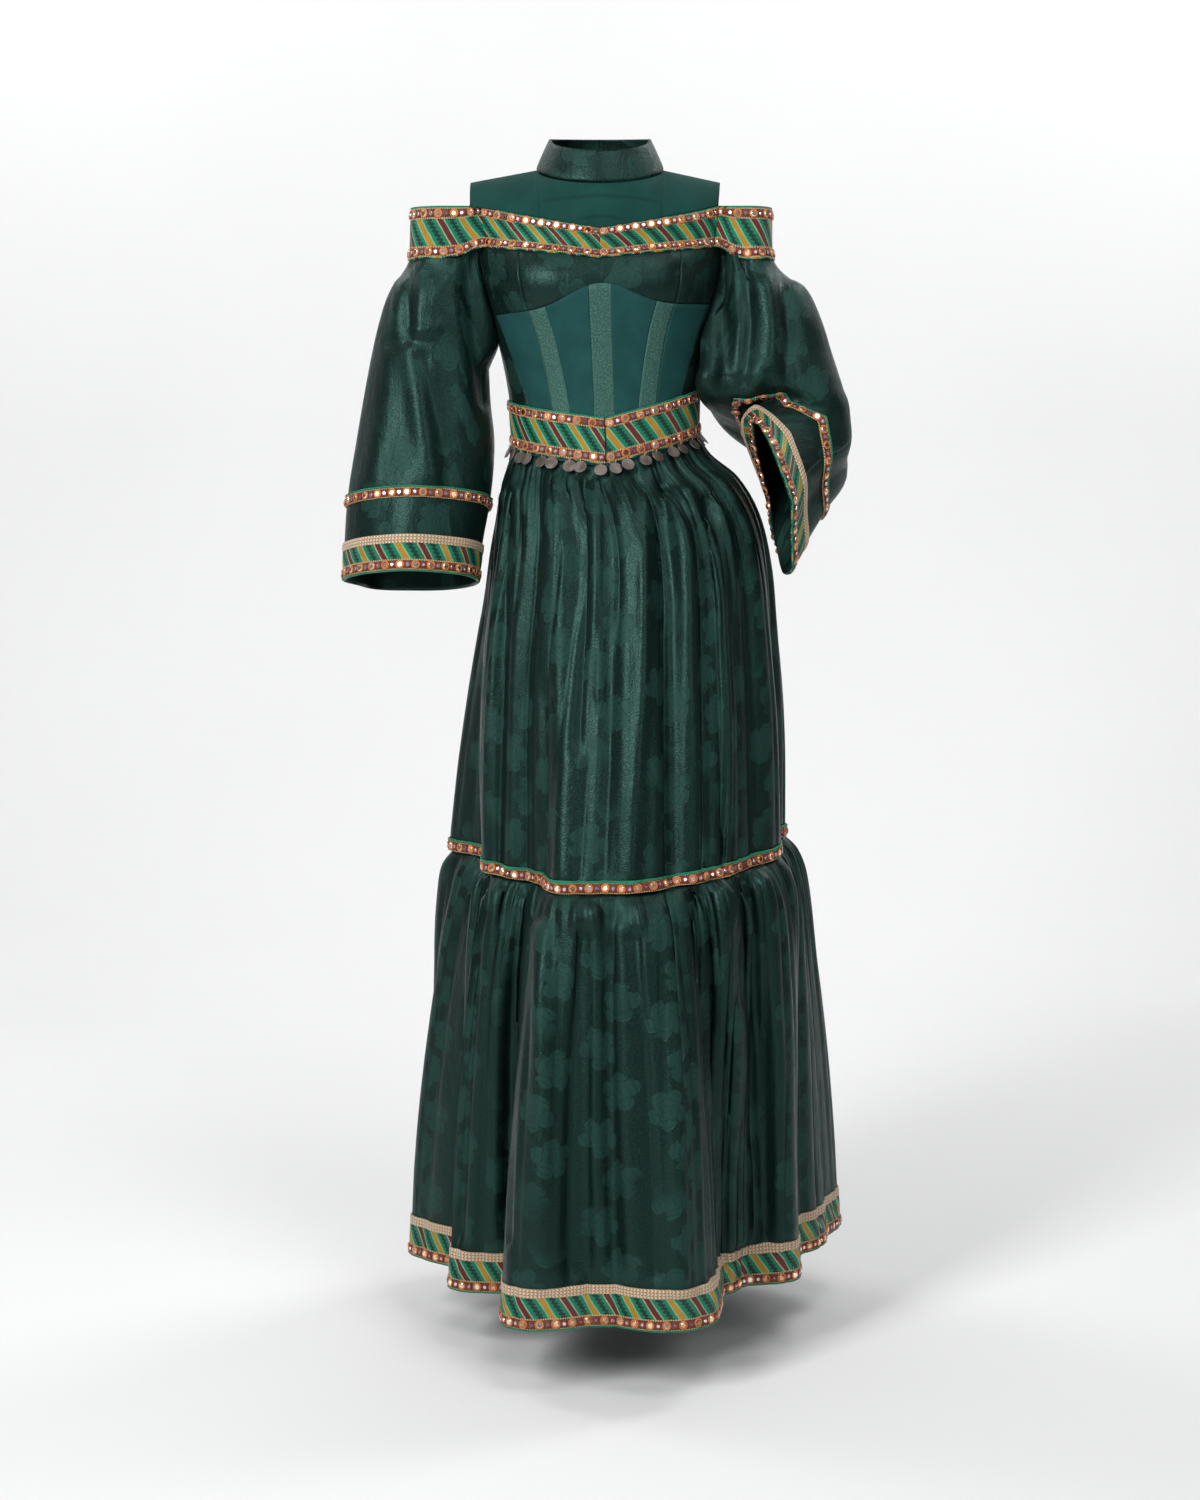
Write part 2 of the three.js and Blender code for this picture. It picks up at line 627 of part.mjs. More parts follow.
function skirtShape(share, angle, down) {
  const gather = along(SKIRT_GATHER_DEPTH, "down", "deep", down) * wave(SKIRT_GATHERS * share, Math.PI / 2);
  const drape = along(SKIRT_DRAPE_DEPTH, "down", "deep", down) * wave((SKIRT_GATHERS / 2) * share, 1.1);
  const begun = clamp01((down - SKIRT_FOLDS_FROM) / (1 - SKIRT_FOLDS_FROM)) ** SKIRT_FOLD_POWER;
  const fold = begun * foldsAt(TIER_FOLDS, angle);
  return (gather + drape) * unevenDepth(share) + fold;
}

function flounceShape(share, angle, down) {
  const gather = along(FLOUNCE_GATHER_DEPTH, "down", "deep", down) * wave(FLOUNCE_GATHERS * share, Math.PI / 2);
  const drape = along(FLOUNCE_DRAPE_DEPTH, "down", "deep", down) * wave((FLOUNCE_GATHERS / 2) * share, 0.7);
  const hem = along(FLOUNCE_FOLD_SHARE, "down", "share", down);
  const fold = mix(foldsAt(TIER_FOLDS, angle), foldsAt(HEM_FOLDS, angle), hem);
  return (gather + drape) * unevenDepth(share) + fold;
}

const skirtDrop = BELT.waist - TIER.level;
const flounceDrop = TIER.level - HEM.level;
const SKIRT_STEPS = [0, 0.05, 0.12, 0.26, 0.46, 0.72, 1 - TIER_TRIM / skirtDrop, 1];
const skirt = tierGrid({
  sections: SKIRT,
  gathers: SKIRT_GATHERS,
  steps: SKIRT_STEPS,
  head: (angle) => waistSeam(angle) - SKIRT_CLEAR,
  foot: tierSeam,
  shape: skirtShape,
});
const flounce = tierGrid({
  sections: FLOUNCE,
  gathers: FLOUNCE_GATHERS,
  steps: [0, 0.04, 0.12, 0.3, 0.58, 1 - (HEM_BAND + HEM_BRAID) / flounceDrop, 1 - HEM_BAND / flounceDrop, 1],
  head: (angle) => tierSeam(angle) - FLOUNCE_CLEAR,
  foot: hemLine,
  shape: flounceShape,
});

// Coins hang close together from a tape just under the belt, over one quarter of the waist, and lean
// out over the gathers. Coins and tape are one piece.
function coinFringe(from, to) {
  const waist = bodice.rows[ROW.waist].slice(from, to + 1);
  const raised = (height) => waist.map((point) => new THREE.Vector3(point.x, point.y, point.z + height));
  const top = (BELT_CLEAR * SEAM_GAP) / 2 - SEAM_GAP;
  const level = bodice.normals[ROW.waist].slice(from, to + 1);
  const normals = level.map((normal) => new THREE.Vector3(normal.x, normal.y, 0).normalize());
  const tape = { rows: [raised(top), raised(top - COIN_TAPE.tall)], normals: [normals, normals] };
  const whole = { columns: [0, to - from], lift: BELT_LIFT, thick: COIN_TAPE.thick, back: [0, 0, 1, 1] };
  let fringe = solid(wall(tape, whole));
  const middle = new THREE.CurvePath();
  const line = raised(top - COIN_TAPE.tall / 2);
  line.slice(1).forEach((point, i) => middle.add(new THREE.LineCurve3(line[i], point)));
  const count = Math.round(middle.getLength() / COINS.apart);
  for (let i = 0; i < count; i++) {
    const share = (i + 0.5 + COINS.uneven * wave(COINS.drift * i, from)) / count;
    const place = middle.getPointAt(share);
    const along = middle.getTangentAt(share).setZ(0).normalize();
    const out = new THREE.Vector3(along.y, -along.x, 0);
    const slope = skirtSlope(place, out);
    const standing = CLOTH_WALL * Math.hypot(1, slope) + COINS.clear - BELT_LIFT - COIN_TAPE.thick / 2;
    const lean = Math.atan(slope + standing / (COINS.drop + COINS.radius));
    const up = new THREE.Vector3(0, 0, Math.cos(lean)).addScaledVector(out, -Math.sin(lean));
    const frame = new THREE.Matrix4().makeBasis(along, up, new THREE.Vector3().crossVectors(along, up));
    frame.setPosition(place.addScaledVector(out, BELT_LIFT + COIN_TAPE.thick / 2));
    const coin = new THREE.CylinderGeometry(COINS.radius, COINS.radius, COINS.thick, COINS.sides);
    coin.rotateX(Math.PI / 2).rotateZ(Math.PI / COINS.sides).translate(0, -COINS.drop, 0);
    fringe = fringe.add(solid(coin.applyMatrix4(frame)));
  }
  return fromSolid(fringe);
}

// How steeply the skirt stands out just below a place on the waist, at the crest of a gather.
function skirtSlope(place, out) {
  const waist = sectionAt(SKIRT, "down", 0);
  const depth = place.y < 0 ? waist.front : waist.back;
  const angle = THREE.MathUtils.radToDeg(Math.atan2((place.x - waist.shift) / waist.half, -place.y / depth));
  const down = SKIRT_STEPS[1];
  const drop = down * (waistSeam(angle) - tierSeam(angle));
  const crest = along(SKIRT_GATHER_DEPTH, "down", "deep", down);
  const cloth = onSection(sectionAt(SKIRT, "down", down), angle, place.z - drop, crest);
  return cloth.sub(place).setZ(0).dot(out) / drop;
}

add("coins_front_left", COIN, coinFringe(CENTRE, CENTRE + LINE.side));
add("coins_back_left", COIN, coinFringe(CENTRE + LINE.side, 2 * CENTRE));
add("coins_back_right", COIN, coinFringe(0, CENTRE - LINE.side));
add("coins_front_right", COIN, coinFringe(CENTRE - LINE.side, CENTRE));

// Each tier is cut in four panels, with a seam a little left of the centre front.
const QUARTERS = ["front_left", "back_left", "back_right", "front_right"];
const FRONT_SEAM = 2;
QUARTERS.forEach((quarter, i) => {
  const from = FRONT_SEAM + i * SKIRT_GATHERS;
  add(`skirt_${quarter}`, SATIN, wall(skirt, { columns: [from, from + SKIRT_GATHERS] }));
});
QUARTERS.forEach((quarter, i) => {
  const from = FRONT_SEAM + i * FLOUNCE_GATHERS;
  add(`flounce_${quarter}`, SATIN, wall(flounce, { columns: [from, from + FLOUNCE_GATHERS] }));
});

// Trims round the tiers, each in two lengths that meet at the sides.
function tierTrims(name, finish, sheet, gathers, rows) {
  const onTrim = { rows, lift: TRIM_LIFT, thick: TRIM_WALL };
  add(`${name}_front`, finish, wall(sheet, { ...onTrim, columns: [-gathers, gathers] }));
  add(`${name}_back`, finish, wall(sheet, { ...onTrim, columns: [gathers, 3 * gathers] }));
}
tierTrims("tier_trim", MIRROR_TRIM, skirt, SKIRT_GATHERS, [6, 7]);
tierTrims("hem_braid", BRAID, flounce, FLOUNCE_GATHERS, [5, 6]);
tierTrims("hem_band", EMBROIDERY, flounce, FLOUNCE_GATHERS, [6, 7]);

// Sleeves. Columns run from the outside of the arm round by the front, the body and the back.
function sleeveHead(share, side, reach) {
  const join = SLEEVE_JOIN / SLEEVE_COLUMNS;
  const near = Math.min(share, 1 - share);
  const ahead = share < 0.5 ? 1 : -1;
  if (near < join) {
    const a = (Math.PI / 2) * (near / join);
    const depth = SLEEVE_HEAD.front * Math.sin(a) + SLEEVE_HEAD.round * Math.sin(2 * a);
    const out = SLEEVE_HEAD.side + (reach - SLEEVE_HEAD.side) * Math.cos(a);
    return new THREE.Vector3(side * out, -ahead * depth, SLEEVE_HEAD.z);
  }
  const angle = mix(ARMHOLE.from, ARMHOLE.to, (share - join) / (1 - 2 * join));
  const z = bodiceTop(angle);
  const place = onSection(sectionAt(TORSO, "z", z), angle, z, SLEEVE_HEAD.body);
  place.x *= side;
  return place;
}

function sleeveRing(ring, share, side) {
  const a = 2 * Math.PI * share;
  const turn = degrees(ring.turn);
  const pitch = degrees(ring.pitch);
  const across = new THREE.Vector3(Math.cos(turn), -Math.sin(turn), 0);
  const level = new THREE.Vector3(-Math.sin(turn), -Math.cos(turn), 0);
  const ahead = level.multiplyScalar(Math.cos(pitch)).setZ(Math.sin(pitch));
  const grow = waves(SLEEVE_FOLDS, share) * (SLEEVE_FOLDS_KEPT.all + SLEEVE_FOLDS_KEPT.outside * Math.cos(a));
  const place = new THREE.Vector3(ring.out, -ring.forward, ring.z);
  place.addScaledVector(across, (ring.half + grow) * Math.cos(a));
  place.addScaledVector(ahead, (ring.deep + grow) * Math.sin(a));
  const innerFront = Math.sin(a) > 0 ? Math.max(-Math.sin(2 * a), 0) ** 2 : 0;
  place.x -= (ring.droop ?? 0) * Math.max(-Math.sin(a), 0);
  place.addScaledVector(CROOK_WAY, (ring.crook ?? 0) * innerFront);
  place.x *= side;
  return place;
}

// A smooth line down the sleeve through its rings, at one column.
function downSleeve(rings, share, side, reach) {
  const head = sleeveHead(share, side, reach);
  const inner = clamp01((Math.min(share, 1 - share) - SLEEVE_EDGE.bodyFrom) / SLEEVE_EDGE.bodyOver);
  const foot = head.clone();
  foot.x += side * SLEEVE_EDGE.out;
  foot.z -= mix(SLEEVE_EDGE.fall, SLEEVE_EDGE.bodyFall, inner);
  const below = rings.map((ring) => sleeveRing(ring, share, side));
  return new THREE.CatmullRomCurve3([head, foot, ...below], false, "centripetal");
}

function sleeveGrid(rings, side, reach) {
  const curves = Array.from({ length: SLEEVE_COLUMNS }, (_, i) => {
    const step = side > 0 ? SLEEVE_COLUMNS - i : i;
    return downSleeve(rings, (step / SLEEVE_COLUMNS) % 1, side, reach);
  });
  const knots = rings.length + 1;
  const cuff = [SLEEVE_TRIM, SLEEVE_GROUND, SLEEVE_BRAID, CUFF_BAND];
  const columns = curves.map((curve) => {
    const upper = Array.from({ length: knots - 2 }, (_, i) => curve.getPoint(i / knots));
    const whole = curve.getLength();
    const pressed = Math.min(1, whole / SLEEVE_LENGTH) ** CREASE_POWER;
    let left = cuff.reduce((sum, width) => sum + width, 0) * pressed;
    const ends = [0, ...cuff].map((width) => {
      left -= width * pressed;
      return curve.getPointAt(clamp01(1 - left / whole));
    });
    return [...upper, ...ends];
  });
  return surface(columns[0].map((_, r) => columns.map((column) => column[r])), true);
}

const sleeves = {
  left: sleeveGrid(BENT_SLEEVE, 1, SLEEVE_REACH.left),
  right: sleeveGrid(HANGING_SLEEVE, -1, SLEEVE_REACH.right),
};
for (const [side, sheet] of Object.entries(sleeves)) {
  const last = sheet.rows.length - 1;
  const onSleeve = { lift: TRIM_LIFT, thick: TRIM_WALL };
  // Each sleeve is cut in two, with seams down the outside and the inside of the arm.
  const halves = [[0, SLEEVE_COLUMNS / 2], [SLEEVE_COLUMNS / 2, SLEEVE_COLUMNS]];
  const [front, back] = side === "right" ? halves : halves.reverse();
  add(`sleeve_front_${side}`, SATIN, wall(sheet, { columns: front }));
  add(`sleeve_back_${side}`, SATIN, wall(sheet, { columns: back }));
  const bandOnSleeve = { ...onSleeve, rows: [0, 1], columns: [-SLEEVE_JOIN, SLEEVE_JOIN], back: [1, 1, 4, 4] };
  add(`sleeve_band_${side}`, EMBROIDERY, wall(sheet, bandOnSleeve));
  add(`sleeve_trim_${side}`, MIRROR_TRIM, wall(sheet, { ...onSleeve, rows: [last - 4, last - 3] }));
  const braidOn = { rows: [last - 2, last - 1], lift: BRAID_LIFT, thick: TRIM_WALL, back: [1, 6, 1, 1] };
  add(`sleeve_braid_${side}`, BRAID, wall(sheet, braidOn));
  add(`cuff_band_${side}`, EMBROIDERY, wall(sheet, { ...onSleeve, rows: [last - 1, last] }));
}

export default dress;
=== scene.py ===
import math

import bpy
import numpy as np
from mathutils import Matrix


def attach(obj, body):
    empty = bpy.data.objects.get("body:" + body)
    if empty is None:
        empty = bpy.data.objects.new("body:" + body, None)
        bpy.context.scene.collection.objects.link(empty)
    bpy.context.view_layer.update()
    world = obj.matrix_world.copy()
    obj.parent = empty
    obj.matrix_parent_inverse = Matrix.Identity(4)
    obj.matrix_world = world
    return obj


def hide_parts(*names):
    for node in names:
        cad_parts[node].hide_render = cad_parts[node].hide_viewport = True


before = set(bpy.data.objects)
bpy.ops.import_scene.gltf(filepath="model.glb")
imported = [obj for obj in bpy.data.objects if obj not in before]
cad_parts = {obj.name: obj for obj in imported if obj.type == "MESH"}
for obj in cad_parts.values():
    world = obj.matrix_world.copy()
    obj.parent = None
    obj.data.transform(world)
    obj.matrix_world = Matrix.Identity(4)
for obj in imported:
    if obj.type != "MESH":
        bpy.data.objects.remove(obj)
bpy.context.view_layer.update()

# ---------------------------------------------------------------- bodice, bust panels
# The bodice is jacquard satin, cut with princess seams and shaped over the bust.
# Its panels are sewn edge to edge along curved seams, and the seams are pressed open.

MM = 0.001
CLOTH = 1.5


def table(columns, rows):
    """A short table with named columns, as a dict of arrays."""
    return dict(zip(columns.split(), np.array(rows, float).T))


def smooth(rows, key, column, at):
    """A table's column at places along its key column, on a smooth curve through its rows."""
    order = np.argsort(rows[key])
    keys, values = rows[key][order], rows[column][order]
    last = len(keys) - 1
    at = np.clip(np.asarray(at, float), keys[0], keys[-1])
    i = np.clip(np.searchsorted(keys, at, side="right") - 1, 0, last - 1)
    before, after = np.maximum(np.arange(last + 1) - 1, 0), np.minimum(np.arange(last + 1) + 1, last)
    slopes = (values[after] - values[before]) / (keys[after] - keys[before])
    width = keys[i + 1] - keys[i]
    t = (at - keys[i]) / width
    low = values[i] * (1 + 2 * t) * (1 - t) ** 2 + slopes[i] * width * t * (1 - t) ** 2
    high = values[i + 1] * t * t * (3 - 2 * t) - slopes[i + 1] * width * t * t * (1 - t)
    return low + high


def mix(a, b, share):
    return a + (b - a) * share


def rising(at, start, width):
    """0 up to a start, 1 from a width after it, and a straight line between."""
    return np.clip((at - start) / width, 0, 1)


def section_at(rows, key, at):
    return {column: smooth(rows, key, column, at) for column in ("shift", "half", "front", "back")}


def on_section(section, angle, z, out=0.0):
    """Points round a section of the body, at angles counted from the centre front."""
    a = np.radians(angle)
    depth = np.where(np.cos(a) > 0, section["front"], section["back"])
    x = section["shift"] + (section["half"] + out) * np.sin(a)
    return np.stack([x, -(depth + out) * np.cos(a), z + 0 * a], axis=-1)


def unit(vectors):
    return vectors / np.maximum(np.linalg.norm(vectors, axis=-1, keepdims=True), 1e-9)


def outward(points, ring=False):
    """The direction out of the cloth at each point of a grid that runs down and round to the left."""
    if ring:
        across = np.roll(points, -1, axis=1) - np.roll(points, 1, axis=1)
    else:
        across = np.gradient(points, axis=1)
    return unit(np.cross(np.gradient(points, axis=0), across))


TORSO = table("z shift half front back", [
    (-25, 0, 170, 68, 84), (-66, 0, 163, 77, 88), (-104, 0, 154, 108, 90),
    (-135, 0, 147, 115, 90), (-175, 1, 137, 106, 86), (-225, 3, 127, 99, 82),
    (-276, 5, 120, 94, 80), (-330, 7, 118, 94, 82), (-372, 8, 119, 96, 84),
])
SEAM_LINES = table("bust waist", [
    (0, 0), (5.4, 6.2), (13, 11), (20.5, 16), (28.1, 20.8), (38.9, 33.2), (50, 39.5), (62, 46.5),
    (71, 52), (80, 68), (90, 84), (100, 100), (109, 109), (118, 118), (130, 130), (142, 142),
    (155, 155), (168, 168), (180, 180),
])
STRIP, INNER_MESH, PRINCESS, ARM_FRONT, SIDE_PANEL, SIDE, SIDE_SEAM, ARM_BACK, BACK = 1, 4, 5, 7, 8, 9, 11, 13, 18


def inward(angle):
    return np.abs((np.asarray(angle, float) + 540) % 360 - 180)


def to_left(angle):
    return np.sin(np.radians(angle))


# The armhole's angles, and the heights of the neckline band's edges at the centre front, the side and the back.
ARM_FROM, ARM_TO, ARM_DROP = 62, 118, 85
BAND_TOP, BAND_FOOT = {"front": -66, "side": -33, "back": -28}, {"front": -104, "side": -86, "back": -94}
CUP = {"deep": 10, "angle": 33, "wide": 24, "z": -132, "tall": 42}


def band_top(angle):
    a = inward(angle)
    front = mix(BAND_TOP["front"], BAND_TOP["side"], np.minimum(a / ARM_FROM, 1))
    back = mix(BAND_TOP["side"], BAND_TOP["back"], rising(a, ARM_TO, 180 - ARM_TO))
    return np.where(a < 90, front, back)


def bodice_top(angle):
    a = inward(angle)
    scoop = BAND_TOP["side"] - ARM_DROP * np.sin(np.pi * rising(a, ARM_FROM, ARM_TO - ARM_FROM)) ** 0.8
    return np.where((a <= ARM_FROM) | (a >= ARM_TO), band_top(angle), scoop)


def band_foot(angle):
    a = inward(angle)
    front = mix(BAND_FOOT["front"], BAND_FOOT["side"], np.minimum(a / ARM_FROM, 1))
    back = mix(BAND_FOOT["side"], BAND_FOOT["back"], rising(a, 90, 90))
    return np.minimum(np.where(a < 90, front, back), bodice_top(angle) - 10)


def underbust(angle):
    return -163 + 29 * np.exp(-((inward(angle) / 21) ** 2)) + 7 * to_left(angle)


def waist_seam(angle):
    return -329 + 8 * to_left(angle) - 32 * np.maximum(1 - inward(angle) / 90, 0) ** 1.2


def in_spans(first, *others):
    """Places in spans that follow each other, each with its own start, end and count."""
    return np.concatenate([np.linspace(*first)] + [np.linspace(*span)[1:] for span in others])


COLUMN_STEPS, BAND_ROWS, BELT_HEIGHT = 8, 15, 62
ROW_PLACES = in_spans((0, 1, BAND_ROWS), (1, 4, 22), (4, 7, 25), (7, 8, 17))
LINE_PLACES = np.linspace(-BACK, BACK, 2 * BACK * COLUMN_STEPS + 1)


def bodice_points(lines, places):
    """Points of the bodice at seam lines, counted from the centre front, and rows, down from the top."""
    bust, waist = [
        np.sign(lines) * np.interp(np.abs(lines), np.arange(BACK + 1), SEAM_LINES[level]) for level in ("bust", "waist")
    ]
    belt_top = waist_seam(waist) + BELT_HEIGHT
    foot, under = band_foot(bust), underbust(bust)
    heights = [
        bodice_top(bust), foot, mix(foot, under, 0.34), mix(foot, under, 0.68), under,
        mix(under, belt_top, 0.35), mix(under, belt_top, 0.7), belt_top, waist_seam(waist),
    ]
    rows = []
    for place in places:
        i = min(int(place), 7)
        z = mix(heights[i], heights[i + 1], place - i)
        angle = mix(bust, waist, np.interp(place, np.arange(9), [0, 0, 0, 0, 0, 0.35, 0.7, 1, 1]))
        beside, above = (inward(angle) - CUP["angle"]) / CUP["wide"], (z - CUP["z"]) / CUP["tall"]
        cup = CUP["deep"] * np.exp(-(beside ** 2) - above ** 2)
        rows.append(on_section(section_at(TORSO, "z", z), angle, z, cup))
    return np.array(rows)


def pressed(points, out, creases, side=1):
    """Presses the front (side 1) or back (side -1) in or out along lines: places across and up, depth, width."""
    moved = points.copy()
    seen = points[..., [0, 2]]
    for line, deep, wide in creases:
        line = np.array(line, float)
        near = np.full(points.shape[:2], 1e9)
        for a, b in zip(line[:-1], line[1:]):
            t = np.clip((seen - a) @ (b - a) / ((b - a) @ (b - a)), 0, 1)
            near = np.minimum(near, np.linalg.norm(seen - a - t[..., None] * (b - a), axis=-1))
        seen_side = np.clip(-side * out[..., 1] / 0.3, 0, 1)
        moved += out * (deep * np.exp(-((near / wide) ** 2)) * seen_side)[..., None]
    return moved


BUST_CREASES = [
    ([(-146, -112), (-104, -140)], -1.8, 5), ([(-142, -124), (-108, -152)], 1.6, 6),
    ([(-140, -142), (-112, -163)], -1.5, 5), ([(132, -104), (92, -118)], -1.6, 5),
    ([(136, -120), (104, -136)], 1.5, 6), ([(-52, -112), (48, -116)], -1.0, 7),
]
BACK_CREASES = [
    ([(-118, -176), (-70, -168)], -1.2, 6), ([(-112, -214), (-58, -204)], -1.2, 7),
    ([(116, -178), (66, -170)], -1.2, 6), ([(110, -220), (52, -206)], -1.2, 7),
    ([(-98, -250), (-40, -240)], 1.2, 7), ([(96, -254), (36, -242)], 1.2, 7),
]
bodice = bodice_points(LINE_PLACES, ROW_PLACES)
bodice = pressed(bodice, outward(bodice), BUST_CREASES)
bodice = pressed(bodice, outward(bodice), BACK_CREASES, side=-1)
bodice_out = outward(bodice)


def along_path(at, length, grid):
    """A grid's values at distances along a path, column by column."""
    return np.stack([np.interp(at, length, grid[:, k]) for k in range(3)], axis=-1)


def run_length(line):
    """How far along a line each of its points lies."""
    return np.concatenate([[0], np.cumsum(np.linalg.norm(np.diff(line, axis=0), axis=1))])


def bodice_part(first, last, rows):
    """The part of the bodice between two seam lines and two rows: its points and their directions."""
    top, foot = np.searchsorted(ROW_PLACES, [rows[0] - 1e-6, rows[1] - 1e-6])
    left, right = (BACK + first) * COLUMN_STEPS, (BACK + last) * COLUMN_STEPS
    part = slice(top, foot + 1), slice(left, right + 1)
    return bodice[part], bodice_out[part]


def flat_map(points, ring=False, width=None):
    """Each point's place on the flat cloth, in metres across and down, measured from the middle of the top."""
    closed = np.concatenate([points, points[:, :1]], axis=1) if ring else points
    across = np.linalg.norm(np.diff(closed, axis=1), axis=-1)
    u = np.concatenate([np.zeros((len(points), 1)), np.cumsum(across, axis=1)], axis=1)
    u -= u[:, [u.shape[1] // 2]]
    down = np.linalg.norm(np.diff(closed, axis=0), axis=-1)
    v = np.concatenate([np.zeros((1, closed.shape[1])), np.cumsum(down, axis=0)])
    if width is not None:
        u = np.broadcast_to(np.linspace(-0.5, 0.5, u.shape[1]) * width, u.shape)
    return np.stack([u, -v], axis=-1) * MM


def shell(name, points, out, lift, wall, flat, material, ring=False):
    """A closed wall of cloth. Its outer face lies `lift` out from the points, its inner face a wall further in."""
    rows, columns = points.shape[:2]
    lift = np.asarray(lift, float)
    lift = lift.reshape(lift.shape + (1,) * (3 - lift.ndim)) if lift.ndim else lift
    outer, inner = points + out * lift, points + out * (lift - wall)
    vertices = np.concatenate([outer.reshape(-1, 3), inner.reshape(-1, 3)]) * MM
    r, c = [grid.ravel() for grid in np.meshgrid(np.arange(rows - 1), np.arange(columns - (not ring)), indexing="ij")]
    corners = [(r, c), (r + 1, c), (r + 1, c + 1), (r, c + 1)]
    wide = flat.shape[1]
    skin = np.stack([a * columns + b % columns for a, b in corners], axis=1)
    skin_flat = np.stack([a * wide + b for a, b in corners], axis=1)
    faces, maps = [skin, skin[:, ::-1] + rows * columns], [skin_flat, skin_flat[:, ::-1]]

    def rim(a, b):
        first, second = [[p * columns + q % columns for p, q in (a, b)], [p * wide + q for p, q in (a, b)]]
        faces.append(np.stack([first[0], first[1], first[1] + rows * columns, first[0] + rows * columns], axis=1))
        maps.append(np.stack([second[0], second[1], second[1], second[0]], axis=1))

    c = np.arange(columns - (not ring))
    rim((0 * c, c), (0 * c, c + 1))
    rim((0 * c + rows - 1, c + 1), (0 * c + rows - 1, c))
    if not ring:
        r = np.arange(rows - 1)
        rim((r + 1, 0 * r), (r, 0 * r))
        rim((r, 0 * r + columns - 1), (r + 1, 0 * r + columns - 1))
    mesh = bpy.data.meshes.new(name)
    mesh.from_pydata(vertices.tolist(), [], np.concatenate(faces).tolist())
    mesh.polygons.foreach_set("use_smooth", np.ones(len(mesh.polygons), bool))
    layer = mesh.uv_layers.new(name="cut")
    layer.uv.foreach_set("vector", flat.reshape(-1, 2)[np.concatenate(maps).ravel()].ravel().astype(np.float32))
    mesh.materials.append(material)
    piece = bpy.data.objects.new(name, mesh)
    bpy.context.scene.collection.objects.link(piece)
    return piece


class Thread:
    """A socket in a material's nodes. Sums on it add Math nodes, and node() adds any other node."""

    def __init__(self, tree, socket=None):
        self.tree, self.socket = tree, socket

    def node(self, kind, settings=(), sockets=(), out=0):
        made = self.tree.nodes.new(kind)
        for name, value in dict(settings).items():
            if name == "stops":
                ramp = made.color_ramp
                while len(ramp.elements) < len(value):
                    ramp.elements.new(0.5)
                for element, (place, colour) in zip(ramp.elements, value):
                    element.position, element.color = place, (*colour, 1)
            elif name == "interpolation":
                made.color_ramp.interpolation = value
            else:
                setattr(made, name, value)
        for name, value in dict(sockets).items():
            if isinstance(value, Thread):
                self.tree.links.new(value.socket, made.inputs[name])
            else:
                made.inputs[name].default_value = value
        return Thread(self.tree, made.outputs[out])

    def sum(self, operation, *values):
        return self.node("ShaderNodeMath", {"operation": operation}, dict(enumerate(values)))

    def __add__(self, other):
        return self.sum("ADD", self, other)

    def __sub__(self, other):
        return self.sum("SUBTRACT", self, other)

    def __rsub__(self, other):
        return self.sum("SUBTRACT", other, self)

    def __mul__(self, other):
        return self.sum("MULTIPLY", self, other)

    def __truediv__(self, other):
        return self.sum("DIVIDE", self, other)

    def __mod__(self, other):
        return self.sum("FLOORED_MODULO", self, other)

    def __pow__(self, other):
        return self.sum("POWER", self, other)

    def __gt__(self, other):
        return self.sum("GREATER_THAN", self, other)

    def __lt__(self, other):
        return self.sum("LESS_THAN", self, other)

    def __abs__(self):
        return self.sum("ABSOLUTE", self)

    __radd__, __rmul__ = __add__, __mul__

    def soft(self, low, high):
        """0 below low and 1 above high, with a smooth step between."""
        settings = {"interpolation_type": "SMOOTHSTEP", "clamp": True}
        return self.node("ShaderNodeMapRange", settings, {"Value": self, "From Min": low, "From Max": high})

    def blend(self, a, b):
        """Colour a where this is 0 and colour b where it is 1."""
        settings = {"data_type": "RGBA", "clamp_factor": True}
        pair = {6: a if isinstance(a, Thread) else (*a, 1), 7: b if isinstance(b, Thread) else (*b, 1)}
        return self.node("ShaderNodeMix", settings, {0: self, **pair}, out=2)


def finish_of(name):
    """A new material with its nodes cleared, its shader and its first thread."""
    material = bpy.data.materials.new(name)
    material.use_nodes = True
    tree = material.node_tree
    tree.nodes.clear()
    shader = tree.nodes.new("ShaderNodeBsdfPrincipled")
    output = tree.nodes.new("ShaderNodeOutputMaterial")
    tree.links.new(shader.outputs[0], output.inputs[0])
    return material, shader, Thread(tree)


def dress_shader(shader, **values):
    """Sets the shader's own sockets: a thread is linked, and a plain value is set."""
    for name, value in values.items():
        socket = shader.inputs[name.replace("_", " ")]
        if isinstance(value, Thread):
            value.tree.links.new(value.socket, socket)
        else:
            socket.default_value = value


def cut_places(thread):
    """The place on the flat cloth in millimetres: across, down, and both as a vector in metres."""
    cut = thread.node("ShaderNodeUVMap", {"uv_map": "cut"})
    across = thread.node("ShaderNodeSeparateXYZ", {}, {0: cut})
    down = Thread(thread.tree, across.socket.node.outputs[1])
    return across * 1000, down * -1000, cut


def noise(thread, vector, scale, detail=2.0, roughness=0.5):
    sockets = {"Vector": vector, "Scale": scale, "Detail": detail, "Roughness": roughness}
    return thread.node("ShaderNodeTexNoise", {}, sockets)


FLOWER_REPEAT, FLOWER_RADIUS, FLOWER_STEP_ASIDE, HALF_TURNS = (86, 54), 23, 26, 2.5


